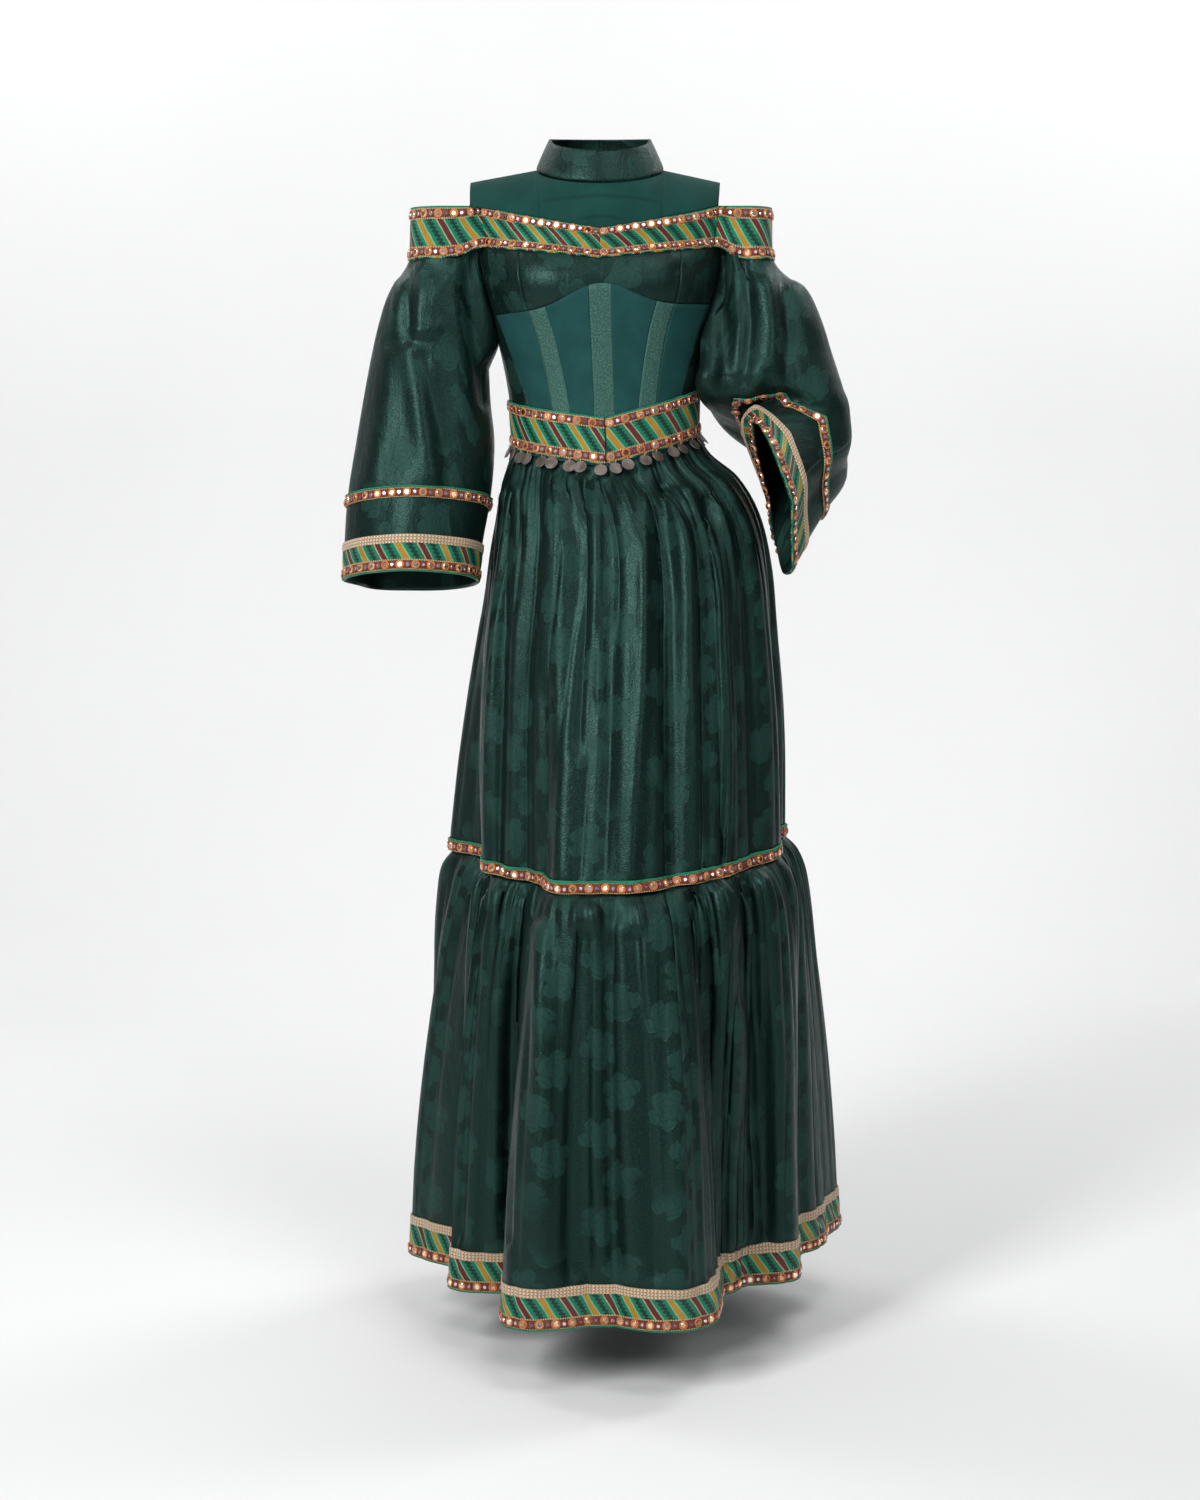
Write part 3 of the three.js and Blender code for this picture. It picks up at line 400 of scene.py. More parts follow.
def flower_mask(across, down, wobble):
    """Round five-petalled flowers, set by turns left and right in upright rows: 1 on a petal, 0 on the ground."""
    wide, tall = FLOWER_REPEAT
    column = (across / wide).sum("FLOOR", across / wide)
    drop = down + (column % 2) * (tall / 2)
    row = (drop / tall).sum("FLOOR", drop / tall)
    x = (across % wide) - wide / 2 + (row % 2) * FLOWER_STEP_ASIDE - FLOWER_STEP_ASIDE / 2
    y = (drop % tall) - tall / 2
    angle = y.sum("ARCTAN2", y, x) + row * 0.7 + wobble * 2
    reach = ((x * x + y * y) ** 0.5) / FLOWER_RADIUS + wobble
    petals = abs((angle * HALF_TURNS).sum("COSINE", angle * HALF_TURNS))
    petal = (petals ** 0.5 * 0.5 + 0.62 - reach).soft(0.0, 0.06)
    folded = abs((reach * 3.1 + petals * 0.5 + 0.3) % 1.0 - 0.5).soft(0.04, 0.16) * 0.55 + 0.45
    return petal * folded


WRINKLE_DEPTH, MOTTLE_DEPTH, SPECKLE_DEPTH = 0.0022, 0.0006, 0.00042


def jacquard(name, ground, flower):
    """Jacquard satin, tone on tone: a shiny finely speckled ground, and flowers in a duller, lighter weave."""
    material, shader, thread = finish_of(name)
    across, down, cut = cut_places(thread)
    wobble = noise(thread, cut, 105, 4, 0.6) * 0.5 - 0.25
    flowers = flower_mask(across, down, wobble)
    speckle = noise(thread, cut, 460, 2)
    mottle = noise(thread, cut, 62, 3)
    fade = noise(thread, cut, 9, 2)
    shown = flowers * fade.soft(0.34, 0.52)
    dotted = speckle.soft(0.46, 0.62) * (1 - shown)
    base = dotted.blend(ground, [c * 1.9 for c in ground])
    toned = shown.blend(base, flower)
    rough = shown * 0.17 + dotted * 0.12 + mottle * 0.12 + 0.3
    stretched = cut.node("ShaderNodeMapping", {}, {"Vector": cut, "Scale": (34, 10, 1)})
    wrinkle = noise(thread, stretched, 1.0, 3)
    height = wrinkle * WRINKLE_DEPTH + mottle * MOTTLE_DEPTH + speckle * (1 - shown) * SPECKLE_DEPTH
    bump = thread.node("ShaderNodeBump", {}, {"Strength": 1.0, "Distance": 1.0, "Height": height})
    dress_shader(
        shader, Base_Color=toned, Roughness=rough, Normal=bump, Specular_IOR_Level=0.42,
        Specular_Tint=(0.36, 0.78, 0.68, 1),
    )
    return material


satin = jacquard("dark_green_jacquard_satin", (0.0027, 0.0082, 0.007), (0.009, 0.03, 0.0245))


def sew(piece, node, flat):
    """Stands a cloth piece for its solid. The flat size that it was cut to is not used."""
    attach(piece, "root")
    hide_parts(node)
    return piece


def cut_size(points, ring=False):
    """The width and length of the flat cloth that holds a piece, and its own area there, in metres."""
    closed = np.concatenate([points, points[:, :1]], axis=1) if ring else points
    across = np.linalg.norm(np.diff(closed, axis=1), axis=-1)
    down = np.linalg.norm(np.diff(closed, axis=0), axis=-1)
    width, length = across.sum(1).max() * MM, down.sum(0).max() * MM
    area = (across[:-1] + across[1:]).mean() / 2 * down.mean() * across[:-1].size * MM**2
    return (float(width), float(length)), float(min(max(area, 0.31 * width * length), width * length))


def bodice_piece(name, material, first, last, rows):
    points, out = bodice_part(first, last, rows)
    piece = shell(name, points, out, CLOTH, CLOTH, flat_map(points), material)
    return sew(piece, name.removeprefix("cloth_"), cut_size(points))


def both_sides(name, material, first, last, rows):
    """The same piece on the left and on the right, with its seam lines counted from the centre front."""
    bodice_piece(name + "_left", material, first, last, rows)
    bodice_piece(name + "_right", material, -last, -first, rows)


BUST = (0, 4)
bodice_piece("cloth_bust_centre", satin, -PRINCESS, PRINCESS, BUST)
both_sides("cloth_bust_side", satin, PRINCESS, SIDE_SEAM, BUST)

# ---------------------------------------------------------------- midriff, boning strips and side panels
# Below the bust three satin strips, lighter by painted sheen, cover the bones, with dark net between and satin beside.
# Every strip is turned under and stitched down over the edges of the net.

WAIST = (4, 8)
# The strips are the same jacquard satin, with lighter colours that paint the sheen they catch.
painted_sheen_strip_satin = jacquard("boning_strip_satin", (0.03, 0.073, 0.06), (0.039, 0.1, 0.083))
bodice_piece("cloth_strip_centre", painted_sheen_strip_satin, -STRIP, STRIP, WAIST)
both_sides("cloth_strip_side", painted_sheen_strip_satin, INNER_MESH, PRINCESS, WAIST)
both_sides("cloth_side_panel", satin, SIDE_PANEL, SIDE_SEAM, WAIST)
both_sides("cloth_back_panel", satin, SIDE_SEAM, BACK, (BUST[0], WAIST[1]))


NET_HOLES, HOLE_DEPTH, GRAIN_DEPTH, HAZE_DEPTH, CURVE_RISE = 3.6, 0.0001, 0.0002, 0.0012, 0.0004


def net(name, colour, seams=()):
    """Fine matt net over a dark backing, with its small holes as a soft grain, and faint curves of painted shade over a
    slight rise.
    """
    material, shader, thread = finish_of(name)
    across, down, cut = cut_places(thread)
    holes = (across * NET_HOLES).sum("SINE", across * NET_HOLES) * (down * NET_HOLES).sum("SINE", down * NET_HOLES)
    haze = noise(thread, cut, 22, 3)
    grain = noise(thread, cut, 700, 1)
    tone = (haze.soft(0.3, 0.7) * 0.6 + grain * 0.4).blend(colour, [c * 1.7 for c in colour])
    height = holes * HOLE_DEPTH + grain * GRAIN_DEPTH + haze * HAZE_DEPTH
    if seams:
        place = thread.node("ShaderNodeSeparateXYZ", {}, {0: thread.node("ShaderNodeTexCoord", {}, {}, out=3)})
        x, up = place * 1000, Thread(thread.tree, place.socket.node.outputs[2]) * 1000
        # Each of these curves is painted shade: the net is darkened along it, over a slight rise.
        for level, bow, half in seams:
            beside = abs(up - level + x * x * bow)
            line = (3.6 - beside).soft(0.0, 3.2) * (half - abs(x)).soft(0.0, 24.0)
            tone = (line * 0.45).blend(tone, [c * 0.5 for c in colour])
            height = height + line * CURVE_RISE
    bump = thread.node("ShaderNodeBump", {}, {"Strength": 0.8, "Distance": 1.0, "Height": height})
    dress_shader(
        shader, Base_Color=tone, Roughness=0.72, Normal=bump, Specular_IOR_Level=0.3,
        Specular_Tint=(0.3, 0.75, 0.7, 1),
    )
    return material


teal_net = net("teal_net", (0.0085, 0.04, 0.0385))
both_sides("cloth_mesh_inner", teal_net, STRIP, INNER_MESH, WAIST)
both_sides("cloth_mesh_outer", teal_net, PRINCESS, SIDE_PANEL, WAIST)

# ---------------------------------------------------------------- yoke and stand collar
# The yoke is the same dark net, nearly opaque, from the neck seam to the top edge of the bodice.
# The stand collar is satin, stands round the neck seam and closes at the centre back.

NECK = {"half": 80, "front": 72, "back": 66, "y": 2, "side": 13, "drop": 22, "rise": 12}
COLLAR_TOP = {"half": 63, "front": 58, "back": 60, "y": 0, "side": 53, "drop": 20, "rise": 6}
SHOULDER = {"tip": 159, "shift": -6, "y": 8, "z": -2}
FRONT_LINES, BACK_LINES = [0, 21, 42, 62, 80, 107, 133, 159], [0, 46, 80, 107, 133, 159]
YOKE_STEPS, COLLAR_ROWS = 6, 17


def neck_ring(ring, angle):
    a = np.radians(angle)
    z = ring["side"] - ring["drop"] * np.maximum(np.cos(a), 0) + ring["rise"] * np.maximum(-np.cos(a), 0)
    section = {"shift": 0, "half": ring["half"], "front": ring["front"], "back": ring["back"]}
    place = on_section(section, angle, z)
    place[..., 1] += ring["y"]
    return place


def yoke_part(lines, facing):
    """The yoke's points and directions, line by line from the neck or shoulder to the bodice."""
    places = np.linspace(-(len(lines) - 1), len(lines) - 1, 2 * (len(lines) - 1) * YOKE_STEPS + 1)
    if facing < 0:
        places = -places
    x = np.sign(places) * np.interp(np.abs(places), np.arange(len(lines)), lines)
    past = rising(np.abs(x), NECK["half"], SHOULDER["tip"] - NECK["half"])
    turned = np.degrees(np.arcsin(np.clip(x / NECK["half"], -1, 1)))
    head = neck_ring(NECK, turned if facing > 0 else 180 - turned)
    head[:, 0] = x + SHOULDER["shift"] * past
    head[:, 1] = mix(head[:, 1], SHOULDER["y"], past)
    head[:, 2] = mix(head[:, 2], SHOULDER["z"], past)
    on_bodice = places if facing > 0 else np.where(places == 0, BACK, np.sign(places) * (BACK - np.abs(places)))
    foot = bodice_points(on_bodice, [0])[0]
    foot_out = along_path(on_bodice, LINE_PLACES, bodice_out[0])
    if facing > 0:
        foot[:, 0] -= 15 * rising(-places, 4, 3) ** 2
    knee = mix(head, foot, np.array([0.4, 0.8, 0.2]))
    t = np.linspace(0, 1, 29)[:, None, None]
    points = (1 - t) ** 2 * head + 2 * t * (1 - t) * knee + t * t * foot
    out = outward(points)
    out[-1] = unit(foot_out)
    return points, out


# The yoke's two faint curves of painted shade, each as height, bow and half width.
yoke_net = net("yoke_net", (0.0055, 0.031, 0.026), [(-24, 0.0012, 84), (-49, 0.0055, 40)])


def yoke_piece(name, points, out):
    piece = shell(name, points, out, CLOTH, CLOTH, flat_map(points), yoke_net)
    return sew(piece, name.removeprefix("cloth_"), cut_size(points))


yoke_points, yoke_out = yoke_part(FRONT_LINES, 1)
yoke_piece("cloth_yoke_front", yoke_points, yoke_out)
back_points, back_out = yoke_part(BACK_LINES, -1)
middle = back_points.shape[1] // 2
yoke_piece("cloth_yoke_back_left", back_points[:, : middle + 1], back_out[:, : middle + 1])
yoke_piece("cloth_yoke_back_right", back_points[:, middle:], back_out[:, middle:])

collar_angles = np.linspace(-180, 180, 121)
collar_foot, collar_top = neck_ring(NECK, collar_angles), neck_ring(COLLAR_TOP, collar_angles)
collar_foot[:, 2] += 3
collar = mix(collar_top, collar_foot, np.linspace(0, 1, COLLAR_ROWS)[:, None, None])
collar_lift = CLOTH + 0.8 * np.sin(np.pi * np.linspace(0, 1, COLLAR_ROWS)) ** 0.4 - 0.4
collar_piece = shell("cloth_stand_collar", collar, outward(collar), collar_lift, 1.9, flat_map(collar), satin)
sew(collar_piece, "stand_collar", cut_size(collar))

# ---------------------------------------------------------------- embroidered trims on bodice and waist
# One bought trim edges the neckline and makes the belt: slanting stitched stripes between two rows
# of round mirrors, each row held between cream zigzag stitches, with a green cord along its edge.

GREEN, DEEP, MINT = (0.004, 0.25, 0.13), (0.002, 0.026, 0.024), (0.24, 0.6, 0.34)
MUSTARD, BURGUNDY, CREAM = (0.6, 0.29, 0.015), (0.15, 0.018, 0.022), (0.62, 0.47, 0.24)
COPPER = (0.2, 0.055, 0.018)
STRIPE_LEAN, STRIPE_REPEAT, CHAIN_AT, CHAIN_STEP = 0.62, 56, 0.365, 4.6
STITCH_ACROSS, STITCH_DOWN, BEAD_STEP = 2.1, 3.4, 3.0
STITCH_RISE, CHAIN_RISE, EDGE_RISE, BEAD_RISE = 0.0004, -0.0007, 0.0006, 0.0009
STRIPES = [
    (0, MINT), (0.03, GREEN), (0.335, MINT), (0.365, MUSTARD), (0.495, MINT), (0.53, GREEN), (0.835, CREAM),
    (0.865, BURGUNDY),
]


def embroidered(name, rows, cords):
    """A stitched trim: slanting stripes, mirror rows and coloured edge cords, in millimetres down."""
    material, shader, thread = finish_of(name)
    across, down, cut = cut_places(thread)
    ragged = noise(thread, cut, 420, 1) * 1.2 - 0.6
    slant = (across - down * STRIPE_LEAN + ragged) / STRIPE_REPEAT
    ramp = {"stops": STRIPES, "interpolation": "CONSTANT"}
    colour = thread.node("ShaderNodeValToRGB", ramp, {0: slant % 1.0})
    middle = abs((slant * 2) % 1.0 - CHAIN_AT)
    steps = abs((down / CHAIN_STEP) % 1.0 - 0.5)
    chain = (0.19 - middle - steps * 0.26).soft(0.0, 0.03)
    colour = (chain * 0.92).blend(colour, DEEP)
    stitch = (across * STITCH_ACROSS + down * STITCH_DOWN).sum("SINE", across * STITCH_ACROSS + down * STITCH_DOWN)
    edge = abs((slant * 2) % 1.0 - 0.5).soft(0.36, 0.5)
    height = stitch * STITCH_RISE + chain * CHAIN_RISE + edge * EDGE_RISE
    colour = (stitch.soft(-1.0, 1.0) * 0.22).blend(colour, DEEP)
    for middle_of_row, half in rows:
        beside = abs(down - middle_of_row)
        ground = (half - beside).soft(-0.2, 0.3)
        colour = ground.blend(colour, COPPER)
        bead_x, bead_y = (across % BEAD_STEP) - BEAD_STEP / 2, beside - half - 0.5
        bead = (1.0 - (bead_x * bead_x + bead_y * bead_y) / 1.9).soft(0.0, 0.5)
        colour = bead.blend(colour, CREAM)
        height = height + bead * BEAD_RISE
    for (low, high), tone in cords:
        cord = (down > low) * (down < high)
        colour = cord.blend(colour, tone)
    worn = noise(thread, cut, 60, 2)
    colour = (worn.soft(0.35, 0.8) * 0.18).blend(colour, DEEP)
    bump = thread.node("ShaderNodeBump", {}, {"Strength": 1.0, "Distance": 1.0, "Height": height})
    dress_shader(shader, Base_Color=colour, Roughness=0.52, Normal=bump, Specular_IOR_Level=0.4)
    return material


def trim_map(points, width, ring=False):
    """A trim's flat place: along it in metres, and down from its top edge over its full width."""
    flat = flat_map(points, ring)
    flat[..., 0] = flat[len(points) // 2, :, 0]
    flat[..., 1] = -np.linspace(0, 1, len(points))[:, None] * width * MM
    return flat


CORD_RISE, PUFF_RISE = 1.4, 0.5


def trim_rise(rows, width, cords, puffs=()):
    """How far a trim stands up over its width: round cords at its edges, and soft ridges between."""
    down = np.linspace(0, width, rows)

    def dome(low, high):
        return np.clip(1 - ((down - (low + high) / 2) / ((high - low) / 2)) ** 2, 0, 1)

    rises = [CORD_RISE * np.sqrt(dome(*span)) for span in cords] + [PUFF_RISE * dome(*span) for span in puffs]
    return np.max([np.zeros(rows), *rises], axis=0)


TRIM_LIFT, BELT_LIFT, TRIM, TRIM_ROWS = 1.8, 2.0, 1.6, 29
WIDE_TRIM, WIDE_FIELD, WIDE_ROWS = 62, (14, 48), (8.5, 53.5)
MIRROR_SEAT = 0.6
wide_trim = embroidered("wide_mirror_trim", [(at, 5.2) for at in WIDE_ROWS], [((0, 2.2), GREEN)])


def place_tree(name):
    """A node tree that sets a small shape on every point of a row, facing out of the cloth."""
    tree = bpy.data.node_groups.new(name, "GeometryNodeTree")
    ports = tree.interface
    ports.new_socket("Geometry", in_out="INPUT", socket_type="NodeSocketGeometry")
    for label, kind, value in (
        ("Ring radius", "NodeSocketFloat", 0.005), ("Thread radius", "NodeSocketFloat", 0.001),
        ("Seed", "NodeSocketInt", 3), ("Size spread", "NodeSocketFloat", 0.08), ("Tilt", "NodeSocketFloat", 0.12),
        ("Finish", "NodeSocketMaterial", None),
    ):
        port = ports.new_socket(label, in_out="INPUT", socket_type=kind)
        if value is not None:
            port.default_value = value
    ports.new_socket("Geometry", in_out="OUTPUT", socket_type="NodeSocketGeometry")
    start, end = tree.nodes.new("NodeGroupInput"), tree.nodes.new("NodeGroupOutput")

    def add(kind, settings=(), **links):
        made = tree.nodes.new(kind)
        for key, value in dict(settings).items():
            setattr(made, key, value)
        for key, value in links.items():
            numbered = key[0] == "i" and key[1:].isdigit()
            socket = made.inputs[int(key[1:]) if numbered else key.replace("_", " ")]
            if isinstance(value, bpy.types.NodeSocket):
                tree.links.new(value, socket)
            else:
                socket.default_value = value
        return made

    return tree, start, end, add


def round_of_thread(start, add, sides, bead_sides):
    """A closed round of thread, or the rim of a disc."""
    path, bead = [
        add("GeometryNodeCurvePrimitiveCircle", {"mode": "RADIUS"}, Resolution=count, Radius=start.outputs[radius])
        for count, radius in ((sides, "Ring radius"), (bead_sides, "Thread radius"))
    ]
    return add("GeometryNodeCurveToMesh", {}, Curve=path.outputs[0], i1=bead.outputs[0])


def rows_of(tree, start, end, add, shape):
    """Puts the shape on the points, turned by their own directions, and makes it plain mesh."""
    facing = add("GeometryNodeInputNamedAttribute", {"data_type": "FLOAT_VECTOR"}, Name="facing")
    along = add("GeometryNodeInputNamedAttribute", {"data_type": "FLOAT_VECTOR"}, Name="along")
    stand = add("FunctionNodeAlignRotationToVector", {"axis": "Z"}, Vector=facing.outputs[0])
    turn = add(
        "FunctionNodeAlignRotationToVector", {"axis": "X", "pivot_axis": "Z"},
        Rotation=stand.outputs[0], Vector=along.outputs[0],
    )
    spread = add("ShaderNodeMath", {"operation": "SUBTRACT"}, i0=1.0, i1=start.outputs["Size spread"])
    size = add("FunctionNodeRandomValue", {"data_type": "FLOAT"}, Seed=start.outputs["Seed"])
    tree.links.new(spread.outputs[0], size.inputs[2])
    size.inputs[3].default_value = 1.0
    most = add("ShaderNodeCombineXYZ", {}, i0=start.outputs["Tilt"], i1=start.outputs["Tilt"], i2=3.1)
    least = add("ShaderNodeVectorMath", {"operation": "SCALE"}, i0=most.outputs[0], Scale=-1.0)
    lean = add("FunctionNodeRandomValue", {"data_type": "FLOAT_VECTOR"}, i0=least.outputs[0], i1=most.outputs[0])
    leaning = add("FunctionNodeRotateRotation", {"rotation_space": "LOCAL"}, i0=turn.outputs[0], i1=lean.outputs[0])
    put = add(
        "GeometryNodeInstanceOnPoints", {}, Points=start.outputs["Geometry"], Instance=shape,
        Rotation=leaning.outputs[0], Scale=size.outputs[1],
    )
    real = add("GeometryNodeRealizeInstances", {}, Geometry=put.outputs[0])
    painted = add("GeometryNodeSetMaterial", {}, Geometry=real.outputs[0], Material=start.outputs["Finish"])
    tree.links.new(painted.outputs[0], end.inputs[0])
    return tree


def ring_tree():
    """A stitched ring: a low round of thread round each mirror."""
    tree, start, end, add = place_tree("stitched_ring")
    ring = round_of_thread(start, add, 12, 4)
    soft = add("GeometryNodeSetShadeSmooth", {}, i0=ring.outputs[0])
    return rows_of(tree, start, end, add, soft.outputs[0])


def mirror_tree():
    """A small mirror: a thin disc, slightly domed towards its rim."""
    tree, start, end, add = place_tree("small_mirror")
    disc = add("GeometryNodeMeshCone", {"fill_type": "TRIANGLE_FAN"}, Vertices=14, Depth=0.0012)
    tree.links.new(start.outputs["Ring radius"], disc.inputs["Radius Bottom"])
    top = add("ShaderNodeMath", {"operation": "MULTIPLY"}, i0=start.outputs["Ring radius"], i1=0.72)
    tree.links.new(top.outputs[0], disc.inputs["Radius Top"])
    return rows_of(tree, start, end, add, disc.outputs[0])


def repeat(name, tree, places, facing, along, slot, **inputs):
    """Runs a tree over points with directions, and gives the plain mesh that it makes."""
    mesh = bpy.data.meshes.new(name + "_points")
    mesh.from_pydata((places * MM).tolist(), [], [])
    for label, vectors in (("facing", facing), ("along", along)):
        field = mesh.attributes.new(label, "FLOAT_VECTOR", "POINT")
        field.data.foreach_set("vector", vectors.astype(np.float32).ravel())
    holder = bpy.data.objects.new(name + "_points", mesh)
    bpy.context.scene.collection.objects.link(holder)
    modifier = holder.modifiers.new("rows", "NODES")
    modifier.node_group = tree
    for item in tree.interface.items_tree:
        label = item.name.replace(" ", "_").lower()
        if item.in_out == "INPUT" and label in inputs:
            modifier[item.identifier] = inputs[label]
    graph = bpy.context.evaluated_depsgraph_get()
    made = bpy.data.meshes.new_from_object(holder.evaluated_get(graph), depsgraph=graph)
    made.name = name
    bpy.data.objects.remove(holder)
    piece = bpy.data.objects.new(name, made)
    bpy.context.scene.collection.objects.link(piece)
    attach(piece, "root")
    return piece


def glass_finish(name, tones, rough):
    """Old mirror glass, whose tint differs from disc to disc along the row."""
    material, shader, thread = finish_of(name)
    place = thread.node("ShaderNodeTexCoord", {}, {}, out=3)
    each = noise(thread, place, 48, 1)
    ramp = {"stops": list(zip((0.3, 0.44, 0.54, 0.68), tones))}
    tone = thread.node("ShaderNodeValToRGB", ramp, {0: each})
    dress_shader(shader, Base_Color=tone, Metallic=1.0, Roughness=noise(thread, place, 300, 2) * 0.25 + rough)
    return material


def ring_finish(name, colour):
    material, shader, thread = finish_of(name)
    place = thread.node("ShaderNodeTexCoord", {}, {}, out=3)
    strands = noise(thread, place, 900, 1)
    tone = (strands.soft(0.35, 0.7) * 0.6).blend(colour, [min(1, c * 1.9) for c in colour])
    bump = thread.node("ShaderNodeBump", {}, {"Strength": 0.6, "Distance": 0.0004, "Height": strands})
    dress_shader(shader, Base_Color=tone, Roughness=0.45, Normal=bump, Sheen_Weight=0.2)
    return material


GOLD_TINTS = [(0.24, 0.1, 0.06), (0.85, 0.5, 0.3), (0.95, 0.72, 0.5), (1, 0.95, 0.88)]
PINK_TINTS = [(0.3, 0.1, 0.1), (0.62, 0.36, 0.36), (0.8, 0.62, 0.6), (0.95, 0.86, 0.86)]
gold_glass = glass_finish("gold_mirrors", GOLD_TINTS, 0.12)
pink_glass = glass_finish("pink_mirrors", PINK_TINTS, 0.15)
copper_thread = ring_finish("copper_thread", (0.44, 0.13, 0.03))
burgundy_thread = ring_finish("burgundy_thread", (0.13, 0.018, 0.022))
rings, mirrors = ring_tree(), mirror_tree()
MIRROR_STEP = 10.2


def mirror_rows(name, strips):
    """Mirrors along strips of trim, large ones in copper rings and small ones in burgundy rings by turns."""
    big, small = [], []
    for points, out, lift, share, ring in strips:
        row = (len(points) - 1) * share
        low = int(row)
        line = mix(points[low], points[min(low + 1, len(points) - 1)], row - low) + out[low] * lift
        if ring:
            line = np.concatenate([line, line[:1]])
            facing = np.concatenate([out[low], out[low][:1]])
        else:
            facing = out[low]
        length = run_length(line)
        count = max(2, round(length[-1] / MIRROR_STEP / 2) * 2)
        at = (np.arange(count) + 0.5) / count * length[-1]
        face = unit(along_path(at, length, facing))
        ahead = unit(along_path(at + 1, length, line) - along_path(at - 1, length, line))
        packed = np.concatenate([along_path(at, length, line), face, ahead], axis=1)
        big.append(packed[0::2])
        small.append(packed[1::2])
    big, small = np.concatenate(big), np.concatenate(small)
    for label, tree, row, lift, slot, sizes in (
        ("copper_rings", rings, big, 0, "ring_copper", (0.0048, 0.0013, 0.05, copper_thread)),
        ("burgundy_rings", rings, small, 0, "ring_burgundy", (0.0034, 0.0012, 0.05, burgundy_thread)),
        ("large_mirrors", mirrors, big, 0.3, "mirrors", (0.0042, 0.001, 0.16, gold_glass)),
        ("small_mirrors", mirrors, small, 0.3, "mirrors", (0.0028, 0.001, 0.16, pink_glass)),
    ):
        repeat(
            f"{name}_{label}", tree, row[:, :3] + row[:, 3:6] * lift, row[:, 3:6], row[:, 6:], slot,
            **dict(zip(("ring_radius", "thread_radius", "tilt", "finish"), sizes)),
        )


def finer(points, out, rows):
    """The same strip with evenly spaced rows."""
    at = np.linspace(0, len(points) - 1, rows)
    low = np.minimum(at.astype(int), len(points) - 2)
    share = (at - low)[:, None, None]
    return mix(points[low], points[low + 1], share), unit(mix(out[low], out[low + 1], share))


def trim_piece(name, node, strip, lift, width, cords, puffs, material, ring=False):
    """Lays a length of trim on its cloth, with rolled edges and a padded field. Gives its points and directions."""
    points, out = finer(*strip, TRIM_ROWS)
    rise = trim_rise(len(points), width, cords, puffs)
    flat = trim_map(points, width, ring)
    piece = shell(name, points, out, lift + TRIM + rise, TRIM + rise.min(), flat, material, ring)
    sew(piece, node, cut_size(points, ring))
    return points, out


band_strips = []
for node, first, last, on in (
    ("band_front_left", 0, ARM_FRONT, ["cloth_bust_centre", "cloth_bust_side_left"]),
    ("band_front_right", -ARM_FRONT, 0, ["cloth_bust_centre", "cloth_bust_side_right"]),
    ("band_back_left", ARM_BACK, BACK, ["cloth_back_panel_left"]),
    ("band_back_right", -BACK, -ARM_BACK, ["cloth_back_panel_right"]),
):
    points, out = trim_piece(
        "trim_" + node, node, bodice_part(first, last, (0, 1)), TRIM_LIFT, WIDE_TRIM,
        [(0, 2.6)], [WIDE_FIELD], wide_trim,
    )
    band_strips += [(points, out, TRIM_LIFT + TRIM + MIRROR_SEAT, at / WIDE_TRIM, False) for at in WIDE_ROWS]
mirror_rows("neckline", band_strips)

belt_strips = []
for node, first, last in (("belt_left", 0, BACK), ("belt_right", -BACK, 0)):
    strip, strip_out = bodice_part(first, last, (7, 8))
    strip = strip + np.array([0, 0, 3.0]) * np.linspace(0, 1, len(strip))[:, None, None]
    centre = 0 if first == 0 else -1
    strip[:, centre] = mix(strip[:, centre], strip[:, centre + (1 if centre == 0 else -1)], 0.6)
    points, out = trim_piece(
        "trim_" + node, node, (strip, strip_out), BELT_LIFT, WIDE_TRIM,
        [(0, 2.6)], [WIDE_FIELD], wide_trim,
    )
    belt_strips += [(points, out, BELT_LIFT + TRIM + MIRROR_SEAT, at / WIDE_TRIM, False) for at in WIDE_ROWS]
mirror_rows("belt", belt_strips)

# ---------------------------------------------------------------- gathered skirt
# Four panels of jacquard satin are joined, gathered by hand and sewn into the waist seam.
# The gathers are close at the waist and run together into soft upright folds.

SKIRT = table("down shift half front back", [
    (0, 7.5, 118, 94.5, 82), (0.02, 9, 121, 98, 86), (0.05, 12, 129, 106, 95), (0.1, 24, 148, 124, 112),
    (0.19, 35, 164, 146, 134), (0.32, 38, 177, 163, 150), (0.45, 35, 187, 178, 164),
    (0.68, 32, 200, 203, 184), (1, 26, 212, 232, 206),
])
TIER_FOLDS = table("at out", [
    (-126, -6), (-102, 12), (-85, -36), (-62, -26), (-36, -44), (-21, 8), (4, 6), (42, -4), (66, 4),
    (84, -12), (104, 8), (132, -8), (156, 6), (180, -8), (206, 6),
])
SKIRT_DEPTH = table("down deep", [(0, 0.5), (0.05, 3), (0.16, 5), (0.45, 3), (1, 1)])
SKIRT_DRAPE = table("down deep", [(0, 0), (0.1, 1.5), (0.4, 6), (0.75, 8), (1, 5)])
SKIRT_GATHERS, FINE = 22, 16
SKIRT_HANG, SKIRT_FOLDS, HANG_MIDDLE = 7.5, 7, 0.75


def wave(turns, phase=0.0):
    return np.sin(2 * np.pi * turns + phase)


def folds_at(folds, angle):
    turned = {"at": np.concatenate([folds["at"] + turn for turn in (-360, 0, 360)]), "out": np.tile(folds["out"], 3)}
    return smooth(turned, "at", "out", (np.asarray(angle) + 180) % 360 - 180)


def uneven_angle(share):
    return 360 * share + 5 * wave(2 * share, 1) + 2.6 * wave(5 * share, 0.4)


def uneven_depth(share):
    return 0.78 + 0.16 * wave(3 * share, 0.6) + 0.12 * wave(7 * share, 2.2)


def tier_seam(angle):
    return -856 + 11 * to_left(angle) - 22 * np.maximum(np.cos(np.radians(angle)), 0)


def hem_line(angle):
    return -1398 + 8 * to_left(angle) - 6 * np.maximum(np.cos(np.radians(angle)), 0)


